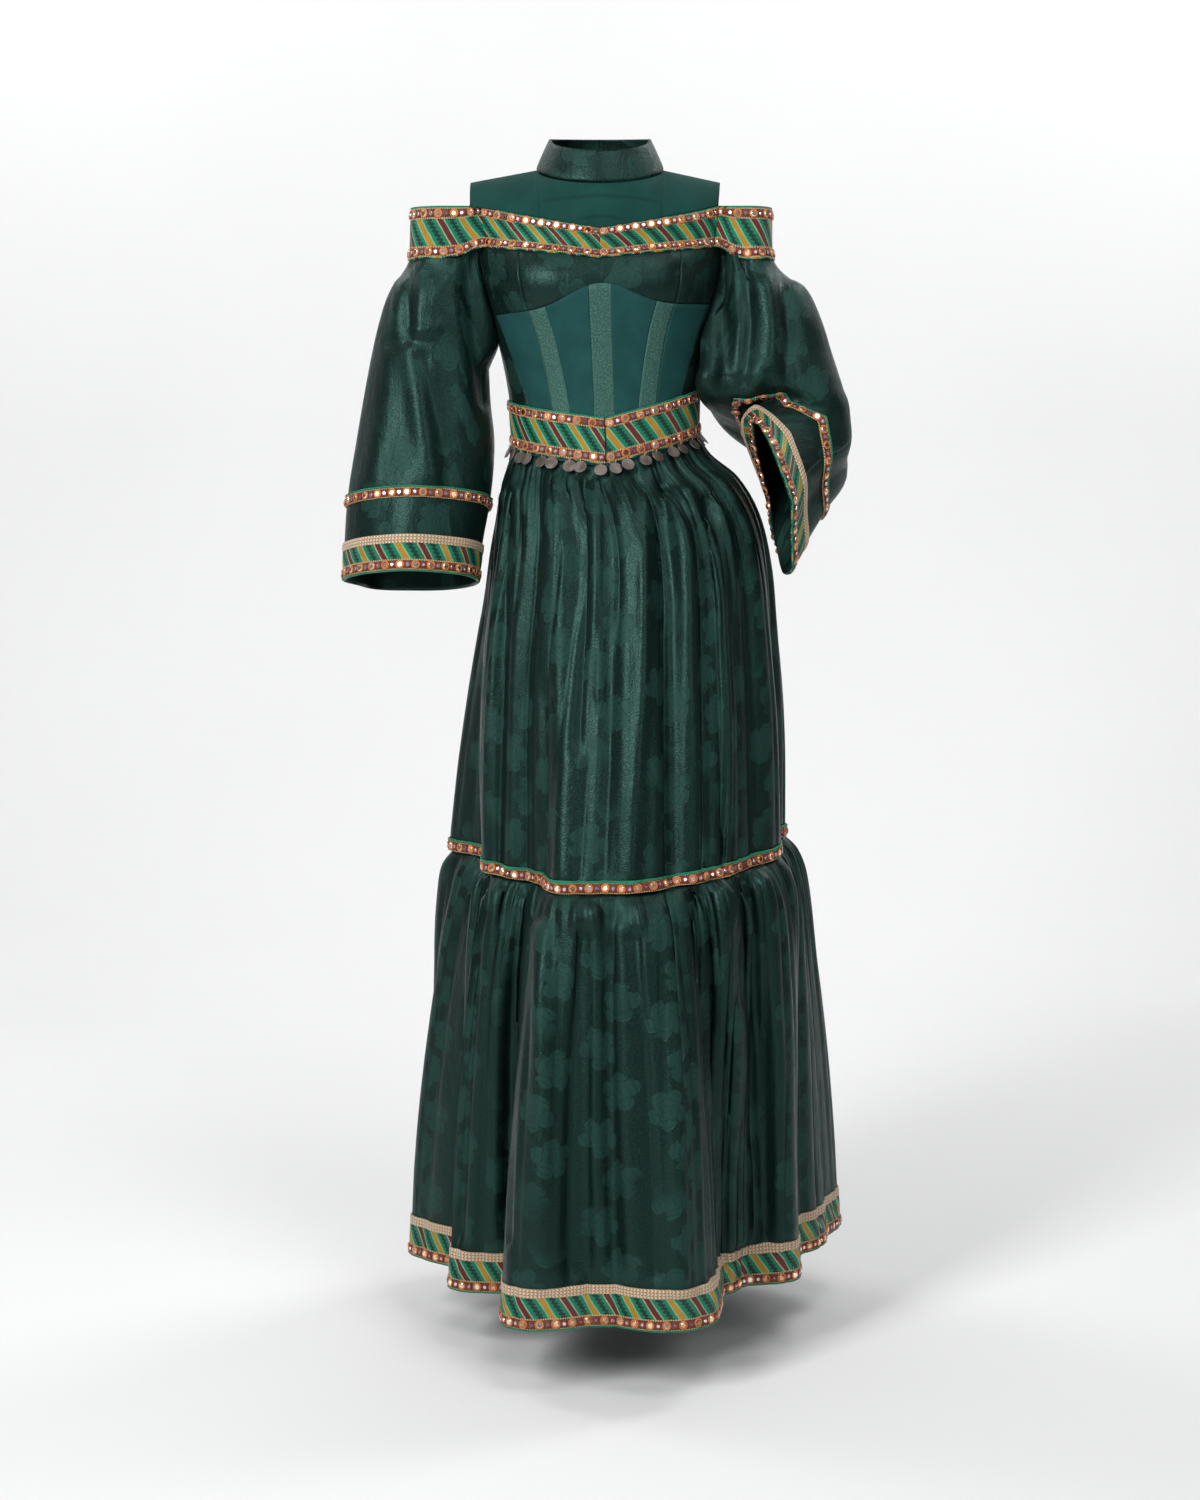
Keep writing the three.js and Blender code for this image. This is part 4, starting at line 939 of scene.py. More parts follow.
def small_gathers(share, gathers):
    """Narrow, uneven creases where the cloth is drawn up, from 0 in a crease to 1 on its crest."""
    sway = 0.35 * wave(3 * share, 0.5) + 0.2 * wave(11 * share, 1.9)
    fine, finer_still = wave(gathers * 1.5 * share + sway) ** 2, wave(gathers * 2.5 * share - sway, 0.8) ** 2
    return 0.62 * fine / (fine + 0.12) * 1.12 + 0.38 * finer_still / (finer_still + 0.15) * 1.15


def under_seam(share, down, gathers, deep, reach, start):
    """Tight creases that begin a little under a seam and fade out over their reach."""
    tight = deep * np.exp(-((down / reach) ** 2)) * rising(down, 0, start)
    return tight * (small_gathers(share, gathers) - 0.7)


def skirt_shape(share, angle, down):
    gather = smooth(SKIRT_DEPTH, "down", "deep", down) * wave(SKIRT_GATHERS * share, np.pi / 2)
    drape = smooth(SKIRT_DRAPE, "down", "deep", down) * wave(SKIRT_GATHERS / 2 * share, 1.1)
    fold = rising(down, 0.25, 0.75) ** 1.4 * folds_at(TIER_FOLDS, angle)
    tight = under_seam(share, down, SKIRT_GATHERS, deep=4.6, reach=0.24, start=0.03)
    hanging = SKIRT_HANG * rising(down, 0.04, 0.2) * (small_gathers(share + 0.006 * down, SKIRT_FOLDS) - HANG_MIDDLE)
    return (gather + drape) * uneven_depth(share) + fold + tight + hanging * rising(1 - down, 0, 0.05)


def tier_points(sections, gathers, steps, head, foot, shape):
    share = np.arange(gathers * FINE) / (gathers * FINE)
    angle = uneven_angle(share)
    rows = []
    for down in steps:
        z = mix(head(angle), foot(angle), down)
        rows.append(on_section(section_at(sections, "down", down), angle, z, shape(share, angle, down)))
    return np.array(rows)


NARROW_TRIM, NARROW_ROW, TRIM_STEPS, SKIRT_LENGTH = 16, 9.4, 7, 527
trim_at = 1 - NARROW_TRIM / SKIRT_LENGTH
skirt_steps = in_spans((0, 0.12, 14), (0.12, trim_at, 40), (trim_at, 1, TRIM_STEPS))
skirt = tier_points(SKIRT, SKIRT_GATHERS, skirt_steps, lambda angle: waist_seam(angle) - 0.9, tier_seam, skirt_shape)
SKIRT_CREASES = [
    ([(-119, -392), (-124, -600), (-131, -862)], -9, 8), ([(-20, -376), (-20, -560), (-27, -700)], -9, 8),
    ([(78, -386), (83, -600), (92, -862)], -10, 12), ([(136, -400), (145, -600), (155, -850)], -9, 9),
    ([(-103, -390), (-106, -600), (-112, -862)], 5, 8), ([(-52, -386), (-49, -560), (-46, -862)], 6, 13),
    ([(-4, -380), (-2, -640)], 4, 6), ([(28, -384), (32, -640), (30, -862)], 4, 11),
    ([(56, -392), (53, -620), (42, -772), (40, -862)], 4.5, 4.5), ([(108, -392), (113, -600), (122, -862)], 5, 9),
    ([(-69, -640), (-68, -862)], -5, 6), ([(12, -560), (10, -700)], -4, 6),
]
SKIRT_BACK_CREASES = [
    ([(-98, -372), (-104, -600), (-112, -850)], -9, 9), ([(-40, -370), (-46, -620), (-40, -860)], -8, 9),
    ([(30, -370), (26, -560), (34, -730)], -9, 8), ([(92, -376), (98, -600), (106, -855)], -9, 10),
    ([(-70, -376), (-74, -600), (-78, -860)], 6, 13), ([(-6, -372), (-8, -640), (-4, -862)], 5, 11),
    ([(62, -374), (66, -600), (70, -860)], 6, 12), ([(126, -390), (134, -600), (146, -850)], 5, 9),
    ([(-134, -400), (-146, -620), (-158, -850)], 5, 10), ([(10, -520), (6, -680)], -4, 6),
]
skirt = pressed(skirt, outward(skirt, ring=True), SKIRT_CREASES)
skirt = pressed(skirt, outward(skirt, ring=True), SKIRT_BACK_CREASES, side=-1)
skirt_out = outward(skirt, ring=True)
QUARTERS = ("front_left", "back_left", "back_right", "front_right")
FRONT_SEAM = 8


def panels(name, points, out, gathers, flat_width):
    """The four panels of a tier, cut from the ring at their seams."""
    for i, quarter in enumerate(QUARTERS):
        columns = (FRONT_SEAM + i * gathers * 4 + np.arange(gathers * 4 + 1)) % points.shape[1]
        part, part_out = points[:, columns], out[:, columns]
        piece = shell(f"cloth_{name}_{quarter}", part, part_out, CLOTH, CLOTH, flat_map(part, width=flat_width), satin)
        sew(piece, f"{name}_{quarter}", cut_size(part))


panels("skirt", skirt, skirt_out, SKIRT_GATHERS, 430)


def ring_part(points, out, rows, first, count):
    """Rows of a ring between two columns, which may pass its first column."""
    columns = (first + np.arange(count + 1)) % points.shape[1]
    return points[rows][:, columns], out[rows][:, columns]


narrow_trim = embroidered("narrow_mirror_trim", [(NARROW_ROW, 6.0)], [((0, 3), GREEN)])
tier_strips = []
for half, first in (("front", -SKIRT_GATHERS * 4), ("back", SKIRT_GATHERS * 4)):
    strip = ring_part(skirt, skirt_out, slice(len(skirt) - TRIM_STEPS, len(skirt)), first, SKIRT_GATHERS * 8)
    points, out = trim_piece(
        "trim_tier_" + half, "tier_trim_" + half, strip, TRIM_LIFT, NARROW_TRIM, [(0, 3)], [],
        narrow_trim,
    )
    tier_strips.append((points, out, TRIM_LIFT + TRIM + MIRROR_SEAT, NARROW_ROW / NARROW_TRIM, False))
mirror_rows("tier", tier_strips)

# ---------------------------------------------------------------- gathered flounce and its hem trims
# The flounce is gathered again under the narrow trim and falls in large flutes to the hem.
# Beige braid, a striped band and a row of mirrors with a green edge are stitched round its foot.

FLOUNCE = table("down shift half front back", [
    (0, 26, 212, 232, 206), (0.04, 28, 226, 244, 220), (0.1, 30, 235, 252, 230), (0.25, 30, 247, 261, 243),
    (0.55, 31, 262, 273, 258), (1, 33, 276, 286, 272),
])
HEM_FOLDS = table("at out", [
    (-116, -36), (-94, 10), (-77, -50), (-60, -18), (-43, -60), (-27, 38), (-4, 20), (19, 36), (34, -60),
    (57, -26), (77, -44), (95, -2), (114, 24), (142, -44), (160, 22), (177, -36), (194, 22), (211, -38), (228, 16),
])
FLOUNCE_DEPTH = table("down deep", [(0, 1), (0.04, 5.5), (0.12, 6.5), (0.35, 3), (1, 0)])
FLOUNCE_DRAPE = table("down deep", [(0, 0), (0.1, 3), (0.4, 8), (1, 9)])
FOLD_SHARE = table("down share", [(0, 0), (0.3, 0.35), (0.7, 0.85), (1, 1)])
FLOUNCE_GATHERS, FLOUNCE_HANG, FLOUNCE_FOLDS = 26, 12, 9
HEM_BAND, HEM_BRAID, HEM_ROW, HEM_CORD = 42, 12, 33.4, (39.6, 42)


def flounce_shape(share, angle, down):
    gather = smooth(FLOUNCE_DEPTH, "down", "deep", down) * wave(FLOUNCE_GATHERS * share, np.pi / 2)
    drape = smooth(FLOUNCE_DRAPE, "down", "deep", down) * wave(FLOUNCE_GATHERS / 2 * share, 0.7)
    hem = smooth(FOLD_SHARE, "down", "share", down)
    fold = mix(folds_at(TIER_FOLDS, angle), folds_at(HEM_FOLDS, angle), hem)
    tight = under_seam(share, down, FLOUNCE_GATHERS, deep=9.0, reach=0.2, start=0.02)
    hanging = FLOUNCE_HANG * rising(down, 0.02, 0.15) * rising(1.1 - down, 0, 0.3)
    hanging = hanging * (small_gathers(share, FLOUNCE_FOLDS) - HANG_MIDDLE)
    return (gather + drape) * uneven_depth(share) + fold + tight + hanging


FLOUNCE_LENGTH, BRAID_STEPS, BAND_STEPS = 542, 5, 11
braid_at, band_at = 1 - (HEM_BAND + HEM_BRAID) / FLOUNCE_LENGTH, 1 - HEM_BAND / FLOUNCE_LENGTH
flounce_steps = in_spans(
    (0, 0.12, 15), (0.12, braid_at, 38), (braid_at, band_at, BRAID_STEPS), (band_at, 1, BAND_STEPS),
)
flounce = tier_points(
    FLOUNCE, FLOUNCE_GATHERS, flounce_steps, lambda angle: tier_seam(angle) - 1.3, hem_line, flounce_shape,
)
FLOUNCE_CREASES = [
    ([(-150, -880), (-168, -1100), (-182, -1340)], -9, 9), ([(-128, -900), (-133, -1340)], 5, 9),
    ([(-96, -890), (-112, -1050), (-117, -1300)], -10, 9), ([(-72, -930), (-68, -1120), (-66, -1340)], 9, 12),
    ([(-22, -930), (-32, -1100), (-34, -1330)], -13, 14), ([(-4, -900), (-4, -1180), (4, -1330)], 7, 8),
    ([(8, -960), (12, -1330)], -4, 6), ([(24, -920), (28, -1100), (40, -1320)], 6, 8),
    ([(44, -930), (58, -1120), (66, -1330)], -9, 11), ([(84, -900), (94, -1100), (98, -1340)], 9, 16),
    ([(118, -890), (136, -1050), (144, -1340)], -14, 12), ([(150, -880), (168, -1080), (176, -1330)], 8, 12),
    ([(180, -880), (202, -1100), (210, -1330)], -10, 11), ([(204, -880), (226, -1100), (238, -1330)], 6, 10),
]
FLOUNCE_BACK_CREASES = [
    ([(-170, -880), (-186, -1100), (-200, -1350)], -9, 10), ([(-140, -880), (-150, -1340)], 7, 12),
    ([(-104, -890), (-116, -1080), (-122, -1345)], -12, 12), ([(-72, -930), (-78, -1340)], 8, 12),
    ([(-36, -880), (-30, -1100), (-34, -1340)], -11, 12), ([(2, -930), (6, -1120), (4, -1345)], 8, 13),
    ([(42, -880), (50, -1100), (56, -1340)], -12, 12), ([(84, -920), (92, -1120), (98, -1340)], 8, 13),
    ([(124, -880), (136, -1080), (146, -1340)], -11, 11), ([(160, -890), (176, -1120), (186, -1340)], 7, 11),
    ([(196, -880), (214, -1100), (226, -1345)], -8, 10),
]
flounce = pressed(flounce, outward(flounce, ring=True), FLOUNCE_CREASES)
flounce = pressed(flounce, outward(flounce, ring=True), FLOUNCE_BACK_CREASES, side=-1)
flounce_out = outward(flounce, ring=True)
panels("flounce", flounce, flounce_out, FLOUNCE_GATHERS, 620)


ROPE_STEP, TWIST_STEP, STRAND_RISE, HAIR_RISE = 4, 4.4, 0.0012, 0.0002


def braided(name, colour):
    """Twisted braid: slanting strands over a rounded band, with painted shade darkening the grooves between strands."""
    material, shader, thread = finish_of(name)
    across, down, cut = cut_places(thread)
    rope = abs((down / ROPE_STEP) % 1.0 - 0.5)
    twist = abs(((across + rope * 5) / TWIST_STEP) % 1.0 - 0.5) * 2
    strand = twist.soft(0.05, 0.7) * (0.5 - rope).soft(0.0, 0.2)
    hairs = noise(thread, cut, 900, 1)
    # Painted shade: between the strands, where the braid sinks, its colour falls to a third.
    tone = (strand * 0.85 + hairs * 0.15).blend([c * 0.3 for c in colour], colour)
    height = strand * STRAND_RISE + hairs * HAIR_RISE
    bump = thread.node("ShaderNodeBump", {}, {"Strength": 1.0, "Distance": 1.0, "Height": height})
    dress_shader(shader, Base_Color=tone, Roughness=0.6, Normal=bump, Sheen_Weight=0.3, Sheen_Roughness=0.4)
    return material


beige_braid = braided("beige_twisted_braid", (0.85, 0.6, 0.38))
hem_trim = embroidered("hem_mirror_trim", [(HEM_ROW, 6.0)], [(HEM_CORD, GREEN)])
hem_strips = []
band_row = len(flounce) - BAND_STEPS
for half, first in (("front", -FLOUNCE_GATHERS * 4), ("back", FLOUNCE_GATHERS * 4)):
    braid_rows = slice(band_row + 1 - BRAID_STEPS, band_row + 1)
    strip = ring_part(flounce, flounce_out, braid_rows, first, FLOUNCE_GATHERS * 8)
    trim_piece(
        "braid_hem_" + half, "hem_braid_" + half, strip, TRIM_LIFT, HEM_BRAID, [], [(0, HEM_BRAID)],
        beige_braid,
    )
    strip = ring_part(flounce, flounce_out, slice(band_row, len(flounce)), first, FLOUNCE_GATHERS * 8)
    points, out = trim_piece(
        "trim_hem_" + half, "hem_band_" + half, strip, TRIM_LIFT, HEM_BAND, [HEM_CORD], [(0, 26)],
        hem_trim,
    )
    hem_strips.append((points, out, TRIM_LIFT + TRIM + MIRROR_SEAT, HEM_ROW / HEM_BAND, False))
mirror_rows("hem", hem_strips)

# ---------------------------------------------------------------- coin fringe
# Dull dark coins hang close together under the belt, each sewn to a narrow tape by a loop of thread.
# The tape is caught in the waist seam.

def coin_finish(name, colour):
    material, shader, thread = finish_of(name)
    place = thread.node("ShaderNodeTexCoord", {}, {}, out=3)
    cloud, scratch = noise(thread, place, 90, 3), noise(thread, place, 700, 2)
    tone = cloud.soft(0.3, 0.7).blend(colour, [c * 2.0 for c in colour])
    bump = thread.node("ShaderNodeBump", {}, {"Strength": 0.4, "Distance": 0.0004, "Height": scratch})
    dress_shader(shader, Base_Color=tone, Metallic=0.75, Roughness=cloud * 0.25 + 0.34, Normal=bump)
    return material


def coin_tree():
    """A coin: a thin disc with a raised rim."""
    tree, start, end, add = place_tree("coin")
    disc = add("GeometryNodeMeshCylinder", {"fill_type": "TRIANGLE_FAN"}, Vertices=28, Depth=0.0009)
    tree.links.new(start.outputs["Ring radius"], disc.inputs["Radius"])
    rim = round_of_thread(start, add, 28, 6)
    both = add("GeometryNodeJoinGeometry")
    tree.links.new(disc.outputs[0], both.inputs[0])
    tree.links.new(rim.outputs[0], both.inputs[0])
    return rows_of(tree, start, end, add, both.outputs[0])


coin_metal = coin_finish("dull_dark_coin", (0.13, 0.108, 0.096))
loop_thread = ring_finish("cream_loop_thread", (0.4, 0.3, 0.17))
coins = coin_tree()
waist_line = bodice[-1]
waist_out = unit(bodice_out[-1] * np.array([1, 1, 0]))
COIN_STEP, COIN_SWING, COIN_DROP, COIN_REACH, COIN_CLEAR = 18.3, 0.3, 7.8, 15.8, 3.6
TAPE, STAGGER, LOOP_RISE, BELT_DOWN = 0.8, 1.5, 8.2, 0.05
waist = section_at(SKIRT, "down", 0)
for quarter, first, last in zip(QUARTERS, (0, SIDE, -BACK, -SIDE), (SIDE, BACK, -SIDE, 0)):
    columns = slice((BACK + first) * COLUMN_STEPS, (BACK + last) * COLUMN_STEPS + 1)
    line, line_out = waist_line[columns] + np.array([0, 0, 1.95]), waist_out[columns]
    length = run_length(line)
    count = round(length[-1] / COIN_STEP)
    by_turns = np.arange(count) % 2
    at = (np.arange(count) + 0.62 - 0.24 * by_turns + 0.03 * wave(0.37 * np.arange(count))) / count * length[-1]
    place, facing = along_path(at, length, line), unit(along_path(at, length, line_out))
    aside, ahead = place[:, 0] - waist["shift"], -place[:, 1]
    angle = np.degrees(np.arctan2(aside / waist["half"], ahead / np.where(ahead > 0, waist["front"], waist["back"])))
    drop = BELT_DOWN * (waist_seam(angle) - tier_seam(angle))
    cloth = on_section(section_at(SKIRT, "down", BELT_DOWN), angle, place[:, 2] - drop, 3.0)
    slope = (((cloth - place) * np.array([1, 1, 0])) * facing).sum(1) / drop
    lean = np.arctan(slope + (STAGGER * np.hypot(1, slope) + COIN_CLEAR - BELT_LIFT - TAPE) / COIN_REACH)
    up = np.array([0, 0, 1.0]) * np.cos(lean)[:, None] - facing * np.sin(lean)[:, None]
    sideways = unit(np.cross(up, facing))
    front = unit(np.cross(sideways, up))
    centre = place + facing * (BELT_LIFT + TAPE) - up * COIN_DROP + front * (TAPE + STAGGER * by_turns[:, None])
    rng = np.random.default_rng(50 + first)
    swing = rng.uniform(-COIN_SWING, COIN_SWING, count)[:, None] * np.abs(front[:, 1:2])
    piece = repeat(
        "coins_" + quarter + "_hung", coins, centre, unit(front + sideways * swing), sideways, "coins",
        ring_radius=0.008, thread_radius=0.0006, size_spread=0.02, tilt=0.06, finish=coin_metal,
    )
    repeat(
        "coin_loops_" + quarter, rings, centre + up * LOOP_RISE, sideways, front, "bead_thread",
        ring_radius=0.0021, thread_radius=0.0005, tilt=0.1, finish=loop_thread,
    )
    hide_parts("coins_" + quarter)

# ---------------------------------------------------------------- sleeves
# Each sleeve is jacquard satin in a front and a back half, and hangs from the neckline trim and the armhole.
# A narrow mirror trim, beige braid and a striped band with mirrors are stitched round its lower end.

HANGING = table("out forward z half deep pitch turn crook droop", [
    (207, 0, -142, 59, 56, 0, 0, 0, 0), (211, -2, -176, 67, 62, 2, 0, 0, 0), (217, -4, -226, 73, 67, 4, 0, 0, 0),
    (221, -3, -278, 79, 71, 6, 0, 0, 0), (223, 1, -330, 86, 74, 8, 0, 0, 0), (231, 8, -400, 89, 77, 10, 0, 0, 0),
    (238, 14, -456, 86, 79, 11, 0, 0, 0), (242, 18, -508, 83, 80, 12, 0, 0, 0),
])
BENT = table("out forward z half deep pitch turn crook droop", [
    (203, 0, -142, 54, 56, 0, 0, 0, 0), (209, 2, -176, 65, 62, 2, 0, 8, 0), (214, 2, -222, 76, 72, 6, 0, 24, 0),
    (221, 2, -266, 86, 80, 16, 4, 38, 0), (234, 6, -300, 84, 80, 30, 14, 40, 0), (256, 18, -330, 66, 76, 46, 32, 22, 0),
    (234, 52, -358, 58, 80, 58, 56, 6, 0), (227, 84, -402, 66, 100, 72, 84, 0, 24),
])
SLEEVE_COLUMNS, SLEEVE_JOIN = 192, 64
ARMHOLE = {"deep": 36, "bulge": 14, "inner": 152, "z": -34.0, "clear": 3.2}
BAND_FALL = {"outer": 66, "inner": 16, "flare": 5}
# The trim, the plain cloth, the braid and the band at a sleeve's end, by width.
CUFF = [15, 47, 11, 36]
SLEEVE_ROW, CUFF_ROW, CUFF_CORD, BRAID_LIFT = 8.8, 27.4, (33.8, 36), 2.3


def sleeve_head(share, side, reach):
    join = SLEEVE_JOIN / SLEEVE_COLUMNS
    near = np.minimum(share, 1 - share)
    ahead = np.where(share < 0.5, 1.0, -1.0)
    a = np.pi / 2 * np.minimum(near / join, 1)
    depth = ARMHOLE["deep"] * np.sin(a) + ARMHOLE["bulge"] * np.sin(2 * a)
    across = ARMHOLE["inner"] + (reach - ARMHOLE["inner"]) * np.cos(a)
    outer = np.stack([across, -ahead * depth, np.full_like(a, ARMHOLE["z"])], axis=-1)
    angle = mix(ARM_FROM, ARM_TO, rising(share, join, 1 - 2 * join))
    z = bodice_top(angle)
    inner = on_section(section_at(TORSO, "z", z), angle, z, ARMHOLE["clear"])
    place = np.where((near < join)[:, None], outer, inner)
    place[:, 0] *= side
    return place


def sleeve_ring(rings, i, share, side):
    ring = {name: column[i] for name, column in rings.items()}
    a = 2 * np.pi * share
    turn, pitch = math.radians(ring["turn"]), math.radians(ring["pitch"])
    across = np.array([math.cos(turn), -math.sin(turn), 0])
    ahead = np.array([-math.sin(turn) * math.cos(pitch), -math.cos(turn) * math.cos(pitch), math.sin(pitch)])
    folded = 3.2 * wave(5 * share, 0.4) + 1.8 * wave(7 * share, 2.1)
    grow = folded * (0.55 + 0.45 * np.cos(a))
    place = np.array([ring["out"], -ring["forward"], ring["z"]]) + across * ((ring["half"] + grow) * np.cos(a))[:, None]
    place = place + ahead * ((ring["deep"] + grow) * np.sin(a))[:, None]
    inner_front = np.where(np.sin(a) > 0, np.maximum(-np.sin(2 * a), 0) ** 2, 0)
    place[:, 0] -= ring["droop"] * np.maximum(-np.sin(a), 0)
    place = place + np.array([-0.75, -0.66, 0]) * (ring["crook"] * inner_front)[:, None]
    place[:, 0] *= side
    return place


def through(knots, at):
    """Points on the smooth curve through knots (one curve for each column), at shares of its knots."""
    count = len(knots)
    p = (count - 1) * at
    i = min(int(p), count - 2)
    weight = p - i
    p0 = knots[i - 1] if i > 0 else 2 * knots[0] - knots[1]
    p1, p2 = knots[i], knots[i + 1]
    p3 = knots[i + 2] if i + 2 < count else 2 * knots[-1] - knots[-2]
    spans = (p1 - p0, p2 - p1, p3 - p2)
    d0, d1, d2 = [np.maximum(np.linalg.norm(span, axis=-1, keepdims=True), 1e-6) ** 0.5 for span in spans]
    t1 = ((p1 - p0) / d0 - (p2 - p0) / (d0 + d1) + (p2 - p1) / d1) * d1
    t2 = ((p2 - p1) / d1 - (p3 - p1) / (d1 + d2) + (p3 - p2) / d2) * d1
    return p1 + t1 * weight + (-3 * p1 + 3 * p2 - 2 * t1 - t2) * weight**2 + (2 * p1 - 2 * p2 + t1 + t2) * weight**3


# The trims keep their width where the sleeve is at least its full length, and draw in where it is shorter.
DENSE, FULL_LENGTH, END_COLUMNS = 450, 400, 22


def sleeve_points(rings, side, reach, places):
    """A sleeve's grid at rows counted from its head: seven spans of rings, then the edges of its trims."""
    i = np.arange(SLEEVE_COLUMNS)
    share = ((SLEEVE_COLUMNS - i if side > 0 else i) / SLEEVE_COLUMNS) % 1
    head = sleeve_head(share, side, reach)
    inner = rising(np.minimum(share, 1 - share), 0.26, 0.12)
    foot = head.copy()
    foot[:, 0] += side * BAND_FALL["flare"]
    foot[:, 2] -= mix(BAND_FALL["outer"], BAND_FALL["inner"], inner)
    knots = np.array([head, foot, *[sleeve_ring(rings, k, share, side) for k in range(8)]])
    dense = np.array([through(knots, t) for t in np.linspace(0, 1, DENSE + 1)])
    steps = np.linalg.norm(np.diff(dense, axis=0), axis=-1)
    length = np.concatenate([np.zeros((1, SLEEVE_COLUMNS)), np.cumsum(steps, axis=0)])
    whole = length[-1]
    drawn_in = np.minimum(1, whole / FULL_LENGTH) ** 2.4
    left = sum(CUFF) * drawn_in
    marks = [length[round(DENSE * k / 9)] for k in range(7)]
    for width in [0, *CUFF]:
        left = left - width * drawn_in
        marks.append(np.clip(whole - left, 0, whole))
    marks = np.array(marks)
    rows = []
    for place in places:
        k = min(int(place), len(marks) - 2)
        at = mix(marks[k], marks[k + 1], place - k)
        rows.append(np.array([
            [np.interp(at[c], length[:, c], dense[:, c, n]) for n in range(3)] for c in range(SLEEVE_COLUMNS)
        ]))
    return np.array(rows)


SLEEVE_ROWS = in_spans((0, 1, 13), (1, 7, 61), (7, 8, 5), (8, 9, 13), (9, 10, 5), (10, 11, 9))
cuff_trim = embroidered("cuff_mirror_trim", [(CUFF_ROW, 5.6)], [(CUFF_CORD, GREEN)])
sleeve_narrow_trim = embroidered("sleeve_mirror_trim", [(SLEEVE_ROW, 5.6)], [((0, 2.6), GREEN)])
HANGING_CREASES = [
    ([(-241, -105), (-242, -150), (-240, -196)], -4, 8), ([(-226, -112), (-228, -186)], 3.0, 10),
    ([(-256, -130), (-256, -190)], 2.5, 9), ([(-241, -196), (-207, -186)], 3.0, 7),
    ([(-244, -206), (-208, -202)], -2.5, 6), ([(-239, -214), (-226, -290), (-212, -371)], 5, 13),
    ([(-222, -225), (-206, -300), (-192, -371)], -4, 12), ([(-262, -225), (-272, -300), (-286, -377)], 4, 15),
    ([(-170, -90), (-160, -180), (-147, -277)], -6.0, 11), ([(-186, -110), (-180, -200), (-172, -300)], 3.5, 12),
]
BENT_CREASES = [
    ([(212, -130), (216, -190), (210, -227), (186, -266)], 5.5, 12), ([(228, -109), (238, -200), (232, -277)], -6, 10),
    ([(256, -140), (276, -200), (296, -280)], 7, 20), ([(182, -98), (188, -180), (182, -256)], -8, 9),
    ([(142, -92), (154, -170), (158, -250)], -15, 15), ([(196, -290), (244, -276), (292, -292)], -4, 10),
    ([(274, -120), (300, -200), (316, -260)], -4, 10),
]
SLEEVE_BACK_CREASES = [
    ([(214, -108), (220, -170), (212, -236)], -4, 10), ([(242, -120), (250, -190), (262, -300)], 4, 14),
    ([(190, -104), (188, -180), (196, -260)], 4, 12), ([(168, -120), (166, -200), (176, -290)], -4, 10),
    ([(204, -246), (228, -300), (236, -372)], -4, 12), ([(262, -200), (276, -280), (284, -360)], -3.5, 11),
]


def drawn_over(strip, strip_out, side):
    """Draws both ends of a sleeve's band over the armhole seams, to the ends of the band on the bodice."""
    points, out = strip.copy(), strip_out.copy()
    near = np.clip(1 - np.arange(points.shape[1]) / END_COLUMNS, 0, 1)
    near = near * near * (3 - 2 * near)
    ends = (ARM_FRONT, ARM_BACK) if side > 0 else (ARM_BACK, ARM_FRONT)
    for line, share in zip(ends, (near, near[::-1])):
        column = (BACK + side * line) * COLUMN_STEPS
        rows, bodice_rows = np.linspace(0, BAND_ROWS - 1, len(points)), np.arange(BAND_ROWS)
        goal, goal_out = [along_path(rows, bodice_rows, grid[:BAND_ROWS, column]) for grid in (bodice, bodice_out)]
        points = mix(points, goal[:, None], share[None, :, None])
        out = unit(mix(out, goal_out[:, None], share[None, :, None]))
    return points, out


HALF_SLEEVE = SLEEVE_COLUMNS // 2
